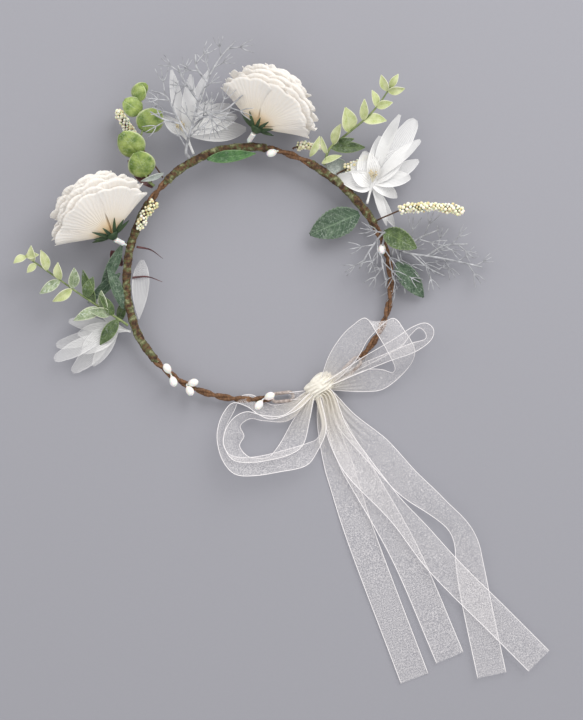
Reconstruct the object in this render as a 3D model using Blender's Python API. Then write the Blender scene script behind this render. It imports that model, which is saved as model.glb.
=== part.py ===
"""A bridal flower crown, lying flat, modelled in Blender.

A twisted vine ring carries silk flowers, greenery picks and berries. Two organza ribbons are tied to
the eyelets at its open ends and meet in one bow with four tails.

Every size below is in millimetres and every angle in degrees. The origin is the ring's middle at the
height of the surface that the crown lies on: +X is to the right, +Y runs away from the bow and +Z is
up. A place on the ring is given by its angle, counted from +X towards +Y.
"""

import math

import bmesh
import bpy
from mathutils import Matrix, Vector

MM = 0.001
GAP = 0.3

# The ring: a slightly oval circle that leans down towards the knot.
RING_RADIUS = 89.0
RING_OVAL = 2.3
OVAL_TURN = 11.0
RING_WAVE = 2.3
WAVE_TURN = 16.0
KNOT_TURN = -60.0
VINE_LOW = 4.0
VINE_HIGH = 17.0

# The vine: two paper-wrapped wires twisted together.
STRAND_RADIUS = 1.05
STRAND_PITCH = 27.0
STRAND_SIDES = 6
STRAND_STEP = 3.9
VINE_START = -38.0
VINE_END = 276.5
TAPE_THICKNESS = 0.45
TAPES = {"tape_left": (144, 221), "tape_top": (84, 135), "tape_right": (22, 66)}

# The wire eyelets at the vine's two ends.
EYELET_LENGTH = 15.5
EYELET_WIDTH = 7.6
EYELET_WIRE = 0.9

# The two large ruffled flowers.
ROSE_RIM = 38.5
ROSE_DEPTH = 42.0
ROSE_AXIS_HEIGHT = 26.0
PEG_RADIUS = 1.4
PEG_WIRE_RADIUS = 0.6
PEG_LENGTH = 7.0
ROSE_REACH = 15.0
CALYX_RADIUS = 8.5
CALYX_DEPTH = 4.6
PETAL_WALL = 1.4
ROSE_SIDES = 16
# Each: angle on the ring, heading of its peg, heading of its head.
ROSES = {"rose_left": (167.5, 142.0, 121.0), "rose_top": (95.0, 56.0, 61.0)}

# Leaves and petals.
LEAF_THICKNESS = 0.8
STEM_RADIUS = 0.75
NEEDLE_RADIUS = 0.55
PIP_RADIUS = 2.5
PIP_LENGTH = 7.0
BEAD_RADIUS = 2.1

# The organza ribbon.
RIBBON_WIDTH = 20.0
RIBBON_THICKNESS = 0.8
KNOT_RADIUS = 8.5
KNOT_HEIGHT = 14.0
TAIL_START_WIDTH = 7.0
TAIL_SPREAD = 55.0
TAIL_RISE = 2.2

STRAND_OFFSET = STRAND_RADIUS + GAP / 2
VINE_ENVELOPE = STRAND_OFFSET + STRAND_RADIUS
TAPE_INNER = VINE_ENVELOPE + GAP
TAPE_OUTER = TAPE_INNER + TAPE_THICKNESS
UP = Vector((0, 0, 1))

BROWN = (0.20, 0.095, 0.04)
TAPE_GREEN = (0.11, 0.13, 0.06)
WIRE_GREY = (0.35, 0.32, 0.28)
CREAM = (0.90, 0.84, 0.76)
WHITE = (0.86, 0.87, 0.85)
PEG_WHITE = (0.86, 0.86, 0.82)
LEAF_GREEN = (0.10, 0.19, 0.06)
PALE_GREEN = (0.42, 0.52, 0.26)
FROSTED = (0.24, 0.32, 0.24)
MAROON = (0.17, 0.06, 0.05)
TWIG_GREY = (0.33, 0.35, 0.40)
BEAD_CREAM = (0.82, 0.80, 0.58)
ORGANZA = (0.90, 0.87, 0.80)


# ---------------------------------------------------------------- places on the ring

def ring_point(degrees):
    """The middle of the vine at this angle."""
    turn = math.radians(degrees)
    oval = RING_OVAL * math.cos(2 * (turn + math.radians(OVAL_TURN)))
    wave = RING_WAVE * math.cos(3 * (turn + math.radians(WAVE_TURN)))
    radius = RING_RADIUS + oval + wave
    lean = (1 - math.cos(turn - math.radians(KNOT_TURN))) / 2
    height = VINE_LOW + (VINE_HIGH - VINE_LOW) * lean
    return Vector((radius * math.cos(turn), radius * math.sin(turn), height))


def ring_tangent(degrees):
    return (ring_point(degrees + 0.5) - ring_point(degrees - 0.5)).normalized()


def direction(heading, pitch=0.0):
    """A unit vector from its heading in the ring's plane and its pitch above it."""
    level = math.cos(math.radians(pitch))
    turn = math.radians(heading)
    return Vector((level * math.cos(turn), level * math.sin(turn), math.sin(math.radians(pitch))))


def foot(degrees, way, radius):
    """Where a stem of this radius that leaves the vine's middle this way comes clear of the vine."""
    tangent = ring_tangent(degrees)
    across = math.sqrt(max(0.05, 1 - way.dot(tangent) ** 2))
    return ring_point(degrees) + way * ((TAPE_OUTER + GAP + radius) / across)


# ---------------------------------------------------------------- points and rings of points

def smooth(points, steps):
    """A Catmull-Rom curve through the points, with this many steps in each span."""
    points = [Vector(point) for point in points]
    ends = [2 * points[0] - points[1], *points, 2 * points[-1] - points[-2]]
    curve = []
    for a, b, c, d in zip(ends, ends[1:], ends[2:], ends[3:]):
        for step in range(steps):
            t = step / steps
            bend = (2 * a - 5 * b + 4 * c - d) * t * t + (3 * b - a - 3 * c + d) * t ** 3
            curve.append(b + ((c - a) * t + bend) / 2)
    curve.append(points[-1])
    return curve


def frame_at(points, index):
    """The side and top directions across a path at one of its points."""
    before = points[max(index - 1, 0)]
    after = points[min(index + 1, len(points) - 1)]
    along = (after - before).normalized()
    reference = UP if abs(along.z) < 0.9 else Vector((1, 0, 0))
    side = along.cross(reference).normalized()
    return side, side.cross(along)


def tube(points, radii, sides=STRAND_SIDES):
    """Rings of points round a path; radii is one value or one for each point."""
    radii = radii if isinstance(radii, (list, tuple)) else [radii] * len(points)
    rings = []
    for index, point in enumerate(points):
        side, top = frame_at(points, index)
        turns = [2 * math.pi * k / sides for k in range(sides)]
        rings.append([point + (side * math.cos(t) + top * math.sin(t)) * radii[index] for t in turns])
    return rings


def turned(base, way, profile, sides, squash=1.0):
    """Rings of a profile of (distance along, radius) pairs turned round an axis, squashed in height."""
    side = way.cross(UP).normalized()
    top = side.cross(way)
    turns = [2 * math.pi * k / sides for k in range(sides)]
    spokes = [side * math.cos(t) + top * math.sin(t) * squash for t in turns]
    return [[base + way * along + spoke * radius for spoke in spokes] for along, radius in profile]


def blade(base, way, length, width, arch=0.0, roundness=0.85, steps=6):
    """Rings of a leaf or petal: a lens-shaped section along an arched midrib."""
    side = way.cross(UP).normalized()
    top = side.cross(way)
    rings = []
    for step in range(steps + 1):
        t = step / steps
        swell = math.sin(math.pi * min(max(t, 0.03), 0.97)) ** roundness
        middle = base + way * (length * t) + top * (arch * math.sin(math.pi * t))
        half = max(width / 2 * swell, 0.5)
        thick = LEAF_THICKNESS / 2 * max(swell, 0.5)
        rings.append([middle + side * half, middle + top * thick, middle - side * half, middle - top * thick])
    return rings


# ---------------------------------------------------------------- solids

def material(name, colour, roughness=0.8):
    made = bpy.data.materials.new(name)
    made.use_nodes = True
    shader = made.node_tree.nodes["Principled BSDF"]
    shader.inputs["Base Color"].default_value = (*colour, 1)
    shader.inputs["Roughness"].default_value = roughness
    shader.inputs["Metallic"].default_value = 0.0
    made.diffuse_color = (*colour, 1)
    return made


def add_shell(build, rings, closed):
    """One closed skin over successive rings of points, capped at its two ends unless it is closed."""
    rows = [[build.verts.new(point * MM) for point in ring] for ring in rings]
    pairs = list(zip(rows, rows[1:]))
    if closed:
        pairs.append((rows[-1], rows[0]))
    for low, high in pairs:
        for k in range(len(low)):
            after = (k + 1) % len(low)
            build.faces.new((low[k], low[after], high[after], high[k]))
    if not closed:
        build.faces.new(rows[0][::-1])
        build.faces.new(rows[-1])


def mesh_object(name, shells, colour, closed=False, roughness=0.8):
    build = bmesh.new()
    for rings in shells:
        add_shell(build, rings, closed)
    bmesh.ops.recalc_face_normals(build, faces=build.faces)
    mesh = bpy.data.meshes.new(name)
    build.to_mesh(mesh)
    build.free()
    made = bpy.data.objects.new(name, mesh)
    bpy.context.scene.collection.objects.link(made)
    mesh.materials.append(material(name, colour, roughness))
    mesh.shade_smooth()
    mesh.set_sharp_from_angle(angle=math.radians(40))
    return made


def solid(name, rings, colour, closed=False, roughness=0.8):
    return mesh_object(name, [rings], colour, closed, roughness)


def fused(name, stem, branches, colour):
    """A moulded pick: the branches are united with the stem that they grow from."""
    pick = mesh_object(name, [stem], colour)
    growth = mesh_object(name + "_growth", branches, colour)
    growth.hide_render = True
    growth.display_type = "WIRE"
    union = pick.modifiers.new("growth", "BOOLEAN")
    union.operation = "UNION"
    union.solver = "EXACT"
    union.use_self = True
    union.object = growth
    return pick


def hinge(name, point, pieces):
    """Pieces that bend together hang from an empty on the place where they bend."""
    pivot = bpy.data.objects.new(name, None)
    pivot.empty_display_size = 0.01
    pivot.location = point * MM
    bpy.context.scene.collection.objects.link(pivot)
    for piece in pieces:
        piece.parent = pivot
        piece.matrix_parent_inverse = Matrix.Translation(-point * MM)


# ---------------------------------------------------------------- the vine

def vine_path():
    """Places along the ring at even steps of length, as (angle, length so far)."""
    angle = VINE_START
    length = 0.0
    path = []
    while angle < VINE_END:
        path.append((angle, length))
        step = math.degrees(STRAND_STEP / ring_point(angle).xy.length)
        length += (ring_point(angle + step) - ring_point(angle)).length
        angle += step
    path.append((VINE_END, length))
    return path


def make_strands():
    for number, name in enumerate(("vine_strand_a", "vine_strand_b")):
        points = []
        for angle, length in vine_path():
            phase = 2 * math.pi * length / STRAND_PITCH + math.pi * number
            outward = ring_tangent(angle).cross(UP).normalized()
            points.append(
                ring_point(angle) + (outward * math.cos(phase) + UP * math.sin(phase)) * STRAND_OFFSET
            )
        solid(name, tube(points, STRAND_RADIUS), BROWN)


def make_tapes():
    """Sleeves of floral tape round the vine, open at both ends for it to pass through."""
    for name, (start, end) in TAPES.items():
        count = max(4, round((end - start) / 6))
        middle = [ring_point(start + (end - start) * k / count) for k in range(count + 1)]
        outer = tube(middle, TAPE_OUTER, 8)
        inner = tube(middle, TAPE_INNER, 8)
        solid(name, outer + inner[::-1], TAPE_GREEN, closed=True)


def eyelet_path(degrees, sense):
    """A flat oblong loop of wire that starts clear of the vine's end and points towards the knot."""
    way = ring_tangent(degrees) * sense
    side = way.cross(UP).normalized()
    end = ring_point(degrees) + way * (EYELET_WIRE + GAP)
    bend = EYELET_WIDTH / 2 - EYELET_WIRE
    points = []
    for middle, turn in ((EYELET_LENGTH - bend - EYELET_WIRE, -90), (bend, 90)):
        for k in range(5):
            t = math.radians(turn + 45 * k)
            points.append(end + way * (middle + bend * math.cos(t)) + side * bend * math.sin(t))
    return points


def eyelet_tip(degrees, sense):
    """The middle of the eyelet's bar on the knot's side, and the way from it to the knot."""
    way = ring_tangent(degrees) * sense
    return ring_point(degrees) + way * (GAP + EYELET_LENGTH - EYELET_WIRE), way


def make_eyelets():
    for name, degrees, sense in (("eyelet_left", VINE_END, 1), ("eyelet_right", VINE_START, -1)):
        path = eyelet_path(degrees, sense)
        count = len(path)
        rings = []
        for index, point in enumerate(path):
            along = (path[(index + 1) % count] - path[index - 1]).normalized()
            side = along.cross(UP).normalized()
            turns = [math.pi * k / 3 for k in range(6)]
            top = side.cross(along)
            rings.append([point + (side * math.cos(t) + top * math.sin(t)) * EYELET_WIRE for t in turns])
        solid(name, rings, WIRE_GREY, closed=True)


# ---------------------------------------------------------------- large ruffled flowers

def cup(reach, rim_radius, start, waist):
    """A petal tier's profile: out along its back to the rim, then in along its face."""
    root = [(start, waist), (start + reach * 0.17, rim_radius * 0.42)]
    back = [*root, (start + reach * 0.44, rim_radius * 0.79)]
    rim = [(start + reach * 0.75, rim_radius * 0.98), (start + reach, rim_radius)]
    face = [(a + PETAL_WALL, max(r - PETAL_WALL, waist * 0.6)) for a, r in back[::-1]]
    inside_rim = (start + reach * 0.8, rim_radius - 2 * PETAL_WALL)
    return back + rim + [inside_rim] + face


def make_rose(name, degrees, peg_heading, heading):
    """A flower head on its peg: calyx, two open tiers of petals and a closed heart, one in the other."""
    level = direction(heading)
    hub = ring_point(degrees)
    seat = hub + direction(peg_heading) * ROSE_REACH
    seat.z = ROSE_AXIS_HEIGHT
    way = (seat - hub).normalized()
    start = foot(degrees, way, PEG_WIRE_RADIUS)
    neck = seat - level * (CALYX_DEPTH + GAP + 0.4 * PEG_RADIUS)
    shaft = (neck - start).normalized()
    squash = ROSE_AXIS_HEIGHT / ROSE_RIM
    peg_path = [start, neck - shaft * (PEG_LENGTH + 0.5), neck - shaft * PEG_LENGTH, neck - shaft, neck]
    peg_radii = [PEG_WIRE_RADIUS, PEG_WIRE_RADIUS, PEG_RADIUS, PEG_RADIUS, 0.7 * PEG_RADIUS]
    peg = solid(name + "_peg", tube(peg_path, peg_radii, 8), PEG_WHITE, roughness=0.4)
    calyx = solid(
        name + "_calyx",
        turned(seat, level, [
            (-CALYX_DEPTH, PEG_RADIUS + 0.4),
            (-CALYX_DEPTH * 0.6, CALYX_RADIUS * 0.5),
            (-0.9, CALYX_RADIUS),
            (-0.1, CALYX_RADIUS),
            (-0.1, 0.8),
        ], 10),
        LEAF_GREEN,
    )
    rim_at = ROSE_DEPTH * 0.44
    outer = solid(
        name + "_outer_petals",
        turned(seat, level, cup(rim_at, ROSE_RIM, GAP, 3.4), ROSE_SIDES, squash), CREAM,
    )
    second = PETAL_WALL + 2 * GAP
    middle = solid(
        name + "_middle_petals",
        turned(seat, level, cup(ROSE_DEPTH * 0.62, ROSE_RIM * 0.72, second + 0.6, 2.2), ROSE_SIDES, squash),
        CREAM,
    )
    third = second + 0.6 + PETAL_WALL + GAP
    bulb = [(third, 1.2), (third + 4.5, ROSE_RIM * 0.18), (ROSE_DEPTH * 0.5, ROSE_RIM * 0.4)]
    bulb += [(ROSE_DEPTH * 0.85, ROSE_RIM * 0.36), (ROSE_DEPTH * 0.97, ROSE_RIM * 0.15)]
    heart = solid(name + "_heart", turned(seat, level, bulb, ROSE_SIDES, squash), CREAM)
    hinge(name + "_bend", hub, [peg, calyx, outer, middle, heart])


# ---------------------------------------------------------------- long-petalled flowers

# Each petal: heading, pitch, length, width, arch.
LILIES = {
    "lily_top": (117.5, 112, 0, 19.0, 6.0, [
        (101, 14, 43, 9, 3), (82, 20, 41, 9, 3), (68, 10, 46, 9, 3),
        (36, -14, 34, 12, 2), (4, -16, 36, 11, 2), (140, 12, 24, 9, 2),
    ]),
    "lily_right": (31, 76, -5, 20.0, 7.0, [
        (70, 16, 52, 9, 3), (59, 2, 53, 9, 3), (44, 18, 45, 10, 3), (30, -4, 35, 10, 3),
        (9, 12, 28, 10, 2), (-62, -10, 29, 7, 2), (165, 16, 25, 12, 3),
    ]),
    "lily_left": (-154.5, 168, -14, 14.5, 5.0, [
        (196, -6, 43, 10, 1), (208, 0, 47, 10, 2), (226, -6, 42, 10, 1),
        (171, -6, 32, 9, 1), (122, -6, 36, 10, 1),
    ]),
}


def make_lily(name, degrees, heading, pitch, reach, throat, petals):
    """A short stem, a throat, and petals that spread from it as one piece; stamens stand in front."""
    way = direction(heading, pitch)
    start = foot(degrees, way, STEM_RADIUS)
    heart = ring_point(degrees) + way * reach
    neck = (heart - start).length
    throat_profile = [(neck - throat, STEM_RADIUS), (neck, 3.2), (neck + 1.6, 2.4)]
    stem = turned(start, way, [(0, STEM_RADIUS), *throat_profile], 8)
    parts = [
        blade(heart, direction(turn, tilt), length, width, arch, 0.6)
        for turn, tilt, length, width, arch in petals
    ]
    return fused(name + "_petals", stem, parts, WHITE)


def make_stamens(name, degrees, heading, pitch, reach, rise):
    """A small cone of stamens that stands just clear above the flower's throat."""
    way = direction(heading, pitch)
    base = ring_point(degrees) + way * (reach + 1.0) + UP * rise
    profile = [(0, 1.2), (3, 2.0), (8, 1.4), (10, 0.5)]
    return solid(name + "_stamens", turned(base, direction(heading, 28), profile, 6), BEAD_CREAM)


def make_lilies():
    made = {}
    for name, (degrees, heading, pitch, reach, throat, petals) in LILIES.items():
        made[name] = [make_lily(name, degrees, heading, pitch, reach, throat, petals)]
    for name in ("lily_top", "lily_right"):
        degrees, heading, pitch, reach, _, _ = LILIES[name]
        made[name].append(make_stamens(name, degrees, heading, pitch, reach, 3.6))
    hinge("lily_right_bend", ring_point(LILIES["lily_right"][0]), made["lily_right"])
    inner = direction(84, -2)
    base = ring_point(-160) - ring_tangent(-160).cross(UP).normalized() * (TAPE_OUTER + GAP + 6.2)
    solid("lily_left_inner_petal", blade(base + UP * 1.5, inner, 42, 11, 2), WHITE)


# ---------------------------------------------------------------- greenery picks

def along_path(points, distance):
    """The point at this distance along a path, and the path's heading there."""
    for before, after in zip(points, points[1:]):
        span = (after - before).length
        if distance <= span or after is points[-1]:
            step = after - before
            return before + step * min(distance / span, 1.0), math.degrees(math.atan2(step.y, step.x))
        distance -= span


def make_pick(name, degrees, path, leaves, colour, roundness=0.85):
    """A stem through the points of its path, with leaves at (distance, splay, pitch, length, width)."""
    hub = ring_point(degrees)
    first = (Vector(path[0])).normalized()
    points = smooth([foot(degrees, first, STEM_RADIUS) - hub, *path], 2)
    points = [hub + point for point in points]
    count = len(points) - 1
    radii = [STEM_RADIUS * (1.1 - 0.45 * k / count) for k in range(count + 1)]
    parts = []
    for distance, splay, pitch, length, width in leaves:
        base, heading = along_path(points, distance)
        parts.append(blade(base, direction(heading + splay, pitch), length, width, 1.0, roundness))
    pick = fused(name, tube(points, radii, 6), parts, colour)
    return pick, hub


# Each leaf: distance along the stem, splay from it, pitch, length, width.
LEFT_LEAVES = [
    (8, 87, -6, 22, 9), (18, -45, 14, 15, 7), (20, 53, 8, 22, 9), (35, -78, 16, 16, 8),
    (46, 69, 4, 16, 7), (46, -62, 18, 15, 8), (56, 70, 10, 17, 7), (56, -49, 22, 13, 7),
    (67, -39, 12, 15, 7), (76, 80, 4, 9, 5), (78, -49, 24, 12, 6), (84, 62, 10, 10, 6),
]
ROUND_LEAVES = [
    (9, -45, 28, 19, 19), (26, 50, 14, 20, 20), (42, -70, 20, 19, 19),
    (54, 60, 12, 13, 13), (64, -60, 18, 11, 11), (67, 35, 10, 9, 9),
]
RIGHT_LEAVES = [
    (13, -75, -14, 23, 9), (16, 30, 26, 16, 7), (30, 62, 24, 18, 12), (43, 48, 30, 16, 6),
    (43, -42, 12, 16, 9), (56, 55, 16, 12, 6), (56, -38, 22, 12, 6), (69, 55, 14, 12, 6),
    (69, -50, 12, 12, 6),
]


def make_picks():
    left, hub = make_pick(
        "eucalyptus_left", -155, [(-12, 8.5, 3), (-36, 24, 7), (-60, 41, 9), (-76, 52, 10)],
        LEFT_LEAVES, PALE_GREEN,
    )
    hinge("eucalyptus_left_bend", hub, [left])
    right, hub = make_pick(
        "eucalyptus_right", 58, [(5, 15, 4), (16, 24, 8), (30, 35, 14), (39, 45, 17), (47, 57, 19)],
        RIGHT_LEAVES, PALE_GREEN,
    )
    hinge("eucalyptus_right_bend", hub, [right])
    make_pick(
        "round_eucalyptus", 139, [(-8, 9, 2), (-13, 29, 5), (-10, 45, 7), (-15, 66, 8)],
        ROUND_LEAVES, LEAF_GREEN, roundness=0.55,
    )


# Each leaf: angle on the ring, heading, pitch, length, width, arch, colour.
SINGLE_LEAVES = {
    "serrated_leaf_inner": (31, 203, -4, 36, 20, 2, FROSTED),
    "serrated_leaf_outer": (22, -28, 20, 26, 14, 2, LEAF_GREEN),
    "serrated_leaf_low": (13, -52, -6, 30, 13, 1, FROSTED),
    "green_leaf_top": (119, 6, 8, 33, 8, 4, LEAF_GREEN),
    "frosted_leaf_right": (61, 4, -24, 16, 11, 1, FROSTED),
    "long_leaf_upper": (176, 222, -9, 30, 7, 1, FROSTED),
    "long_leaf_lower": (184, 258, -20, 15, 6, 1, LEAF_GREEN),
    "maroon_leaf_upper": (140, 132, -14, 26, 8, 1, MAROON),
    "maroon_leaf_lower": (178, 128, -28, 15, 7, 1, MAROON),
    "thorn_upper": (166, -20, 6, 20, 2.4, 1, MAROON),
    "thorn_lower": (180.5, -4, 6, 21, 2.4, 1, MAROON),
}


def make_single_leaves():
    for name, (degrees, heading, pitch, length, width, arch, colour) in SINGLE_LEAVES.items():
        way = direction(heading, pitch)
        base = foot(degrees, way, 1.0)
        solid(name, blade(base, way, length, width, arch), colour)


# ---------------------------------------------------------------- fillers

# Each spike: angle on the ring, path from the vine's middle, length of bare stem at its foot.
BEAD_SPIKES = {
    "bead_spike_right": (25, [(10, 4, 10), (24, 9, 12), (44, 10, 9), (62, 7, 7)], 22),
    "bead_spike_top": (74, [(2, 5, 0), (10, 6.5, -2), (21, 5, -2)], 5),
    "bead_spike_upper_right": (53, [(7, 4, -2), (20, 10, -3), (30, 15, -3)], 9),
    "bead_spike_left": (134, [(-8, 12, -6), (-24, 34, -8), (-34, 50, -8)], 38),
    "bead_spike_inner": (143, [(5, -6, 0), (6, -16, 1), (2, -26, 1)], 4),
}


def make_bead_spikes():
    for name, (degrees, path, bare) in BEAD_SPIKES.items():
        hub = ring_point(degrees)
        start = foot(degrees, Vector(path[0]).normalized(), STEM_RADIUS) - hub
        points = [hub + point for point in smooth([start, *path], 5)]
        radii = []
        travelled = 0.0
        for index, point in enumerate(points):
            travelled += (point - points[index - 1]).length if index else 0.0
            bead = BEAD_RADIUS * (1.0 if index % 2 else 0.6)
            radii.append(bead if travelled > bare else STEM_RADIUS)
        radii[-1] = BEAD_RADIUS * 0.4
        solid(name, tube(points, radii, 6), BEAD_CREAM)


# Each twig spray: angle on the ring, then its branches as lists of places from the vine's middle.
TWIG_SPRAYS = {
    "twig_spray_top": (120, [
        [(-3, 8, 8), (2, 26, 14), (9, 48, 18), (20, 68, 21), (31, 80, 22)],
        [(-1, 15, 11), (-10, 32, 17), (-16, 43, 19), (-26, 47, 20)],
        [(1, 22, 13), (10, 30, 15), (15, 37, 16)],
        [(6, 40, 17), (-4, 54, 20), (-8, 64, 21)],
        [(12, 53, 19), (5, 62, 22), (4, 71, 24)],
        [(-6, 25, 14.4), (-18, 28, 16), (-27, 33, 17)],
    ]),
    "twig_spray_right": (17, [
        [(9, -5.5, -3.5), (18, -10, -3), (38, -13, -2), (58, -17, -2), (70, -20, -2)],
        [(14.4, -8.6, -3.2), (26, 0, -1), (40, 6, 0)],
        [(31.6, -12.2, -2.5), (44, -5, -1), (60, -4, 0)],
        [(21.3, -10.8, -2.7), (32, -20, -3), (44, -26, -3)],
    ]),
}


def make_twigs():
    for name, (degrees, branches) in TWIG_SPRAYS.items():
        hub = ring_point(degrees)
        start = foot(degrees, Vector(branches[0][0]).normalized(), NEEDLE_RADIUS) - hub
        shells = []
        for number, branch in enumerate(branches):
            path = [start, *branch] if number == 0 else branch
            points = [hub + point for point in smooth(path, 2)]
            count = len(points) - 1
            thick = NEEDLE_RADIUS * (1.15 if number == 0 else 0.95)
            radii = [thick * (1 - 0.4 * k / count) for k in range(count + 1)]
            shells.append(tube(points, radii, 5))
        fused(name, shells[0], shells[1:], TWIG_GREY)


# Each pip: angle on the ring, heading and pitch of its stalk.
PIPS = {
    "pip_right": (14, 185, 30), "pip_low_outer": (-132, 150, 30), "pip_low_inner": (-122, 40, 25),
    "pip_bottom": (-102, 250, 35), "pip_top": (79, 250, 25),
}


def make_pips():
    """Small white berries, each an egg on a short stalk that is bound to the vine."""
    for name, (degrees, heading, pitch) in PIPS.items():
        way = direction(heading, pitch)
        base = foot(degrees, way, 0.6)
        egg = [(0, 0.6), (1.6, 0.6), (2.4, PIP_RADIUS * 0.7), (PIP_LENGTH * 0.6, PIP_RADIUS)]
        egg += [(PIP_LENGTH * 0.85, PIP_RADIUS * 0.75), (PIP_LENGTH, PIP_RADIUS * 0.25)]
        solid(name, turned(base, way, egg, 8), PEG_WHITE, roughness=0.35)


# ---------------------------------------------------------------- ribbons

# Bow loops: middle line from the knot, as (x, y), then the heights of the low edge at the knot and
# at the loop's far end, and the loop's depth.
BOW_LOOPS = {
    "bow_left_outer": ([
        (-9.5, -5), (-24, -16.5), (-40, -17), (-53, -17), (-63, -22), (-69, -34), (-68, -47), (-61, -57),
        (-47, -61), (-30, -57), (-16, -50), (-13, -37), (-10.5, -24), (-5.5, -11),
    ], 6.8, 5.0, 12.0),
    "bow_left_inner": ([
        (-8.8, -7.2), (-22, -21), (-38, -22), (-50, -23), (-58, -28), (-62, -38), (-57, -49), (-45, -53),
        (-30, -49), (-20, -42), (-15.5, -28), (-7.3, -9.6),
    ], 6.8, 5.5, 10.0),
    "bow_right_wide": ([
        (2, 9.5), (8, 22), (15, 33), (23, 41), (34, 45), (48, 45), (58, 37), (64, 25), (60, 13),
        (50, 3), (38, -4), (25, -4.5), (11.5, -0.4),
    ], 9.5, 17.0, 12.0),
    "bow_right_narrow": ([
        (8.5, 5.5), (30, 18.5), (52, 31), (64, 38), (73, 41), (78, 36.5), (74, 29.5), (66, 24.5),
        (52, 18.5), (30, 9.5), (9.5, 2.6),
    ], 7.4, 7.6, 7.0),
}
# Tails: middle line from the knot, as (x, y), lowest tail first.
TAILS = [
    ("ribbon_tail_left", [(3, -9.5), (6, -30), (17, -68), (31, -111), (66, -203.5)]),
    ("ribbon_tail_second", [(5, -9), (11, -26), (24, -54), (59, -116), (90.5, -189)]),
    ("ribbon_tail_curved", [
        (7, -8.5), (20, -26), (41, -46), (60.5, -67), (78.5, -84.5), (95, -99), (103.5, -112), (106, -128),
        (110, -154), (119.5, -201),
    ]),
    ("ribbon_tail_right", [
        (6.5, -9), (12, -31), (25, -54), (46.5, -78), (64.5, -96), (83, -118), (99.5, -137), (119.5, -158.5),
        (152, -191),
    ]),
]


def knot_point():
    """The middle of the knot, on the surface that the crown lies on."""
    place = ring_point(KNOT_TURN)
    return Vector((place.x, place.y, 0))


def make_knot():
    centre = knot_point()
    profile = [(0, 0.45), (0.18, 0.78), (0.5, 1.0), (0.82, 0.78), (1.0, 0.4)]
    turns = [2 * math.pi * k / 12 for k in range(12)]
    rings = [
        [
            centre + Vector((math.cos(t) * KNOT_RADIUS * r, math.sin(t) * KNOT_RADIUS * r, KNOT_HEIGHT * z))
            for t in turns
        ]
        for z, r in profile
    ]
    solid("ribbon_knot", rings, ORGANZA)


def make_bow_loop(name, line, low_near, low_far, depth):
    """A loop of ribbon standing on its edge."""
    knot = knot_point()
    path = [knot + point for point in smooth([(x, y, 0) for x, y in line], 2)]
    far = max((point - knot).length for point in path)
    rings = []
    for index, point in enumerate(path):
        side, _ = frame_at(path, index)
        half = side * RIBBON_THICKNESS / 2
        bottom = UP * (low_near + (low_far - low_near) * (point - knot).length / far)
        top = bottom + UP * depth
        rings.append([point + half + bottom, point + half + top, point - half + top, point - half + bottom])
    return solid(name, rings, ORGANZA)


def tail_height(point, level):
    """How high this tail's middle lies: stacked on the others, and rising towards the knot."""
    lie = RIBBON_THICKNESS / 2 + level * (RIBBON_THICKNESS + GAP)
    distance = (point.xy - knot_point().xy).length
    rise = max(0.0, 1 - distance / TAIL_SPREAD)
    return lie + (TAIL_RISE + level * 1.2) * rise * rise


def make_tail(name, line, level):
    """A flat length of ribbon, gathered where it leaves the knot."""
    knot = knot_point()
    path = [knot + point for point in smooth([(x, y, 0) for x, y in line], 3)]
    rings = []
    for index, point in enumerate(path):
        side, _ = frame_at(path, index)
        spread = min(1.0, (point - knot).length / TAIL_SPREAD)
        half = (TAIL_START_WIDTH + (RIBBON_WIDTH - TAIL_START_WIDTH) * spread) / 2
        ring = []
        for across, lift in ((-1, -1), (-1, 1), (0, 1), (1, 1), (1, -1), (0, -1)):
            place = point + side * half * across
            height = tail_height(place, level) + lift * RIBBON_THICKNESS / 2
            ring.append(Vector((place.x, place.y, height)))
        rings.append(ring)
    return solid(name, rings, ORGANZA)


def make_ties():
    """A ribbon folded through each eyelet: over its end bar, down through it and back under."""
    for name, degrees, sense in (("ribbon_tie_left", VINE_END, 1), ("ribbon_tie_right", VINE_START, -1)):
        bar, way = eyelet_tip(degrees, sense)
        side = way.cross(UP).normalized()
        away = knot_point() - bar
        reach = Vector((away.x, away.y, 0)).length - KNOT_RADIUS - GAP
        bend = EYELET_WIRE + GAP + RIBBON_THICKNESS / 2
        points = [bar + way * (reach * t) + UP * bend for t in (1.0, 0.5)]
        for turn in (90, 130, 180, 230, 270):
            t = math.radians(turn)
            points.append(bar + way * math.cos(t) * bend + UP * math.sin(t) * bend)
        points += [bar + way * (reach * t) - UP * bend for t in (0.5, 1.0)]
        rings = []
        for index, point in enumerate(points):
            before = points[max(index - 1, 0)]
            after = points[min(index + 1, len(points) - 1)]
            out = (after - before).normalized().cross(side) * RIBBON_THICKNESS / 2
            half = side * (EYELET_WIDTH / 2 - 2 * EYELET_WIRE - GAP)
            rings.append([point - half - out, point + half - out, point + half + out, point - half + out])
        solid(name, rings, ORGANZA)


def make_ribbons():
    make_knot()
    loops = {name: make_bow_loop(name, *values) for name, values in BOW_LOOPS.items()}
    tails = [make_tail(name, line, level) for level, (name, line) in enumerate(TAILS)]
    make_ties()
    pivot = knot_point() + UP * KNOT_HEIGHT / 2
    hinge("bow_left_lift", pivot, [loops["bow_left_outer"], loops["bow_left_inner"]])
    hinge("bow_right_lift", pivot, [loops["bow_right_wide"], loops["bow_right_narrow"]])
    hinge("tails_lift", pivot, tails)


def clear_scene():
    for made in list(bpy.data.objects):
        bpy.data.objects.remove(made, do_unlink=True)


def main():
    clear_scene()
    make_strands()
    make_tapes()
    make_eyelets()
    for name, (degrees, peg_heading, heading) in ROSES.items():
        make_rose(name, degrees, peg_heading, heading)
    make_lilies()
    make_picks()
    make_single_leaves()
    make_bead_spikes()
    make_twigs()
    make_pips()
    make_ribbons()


main()
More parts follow.
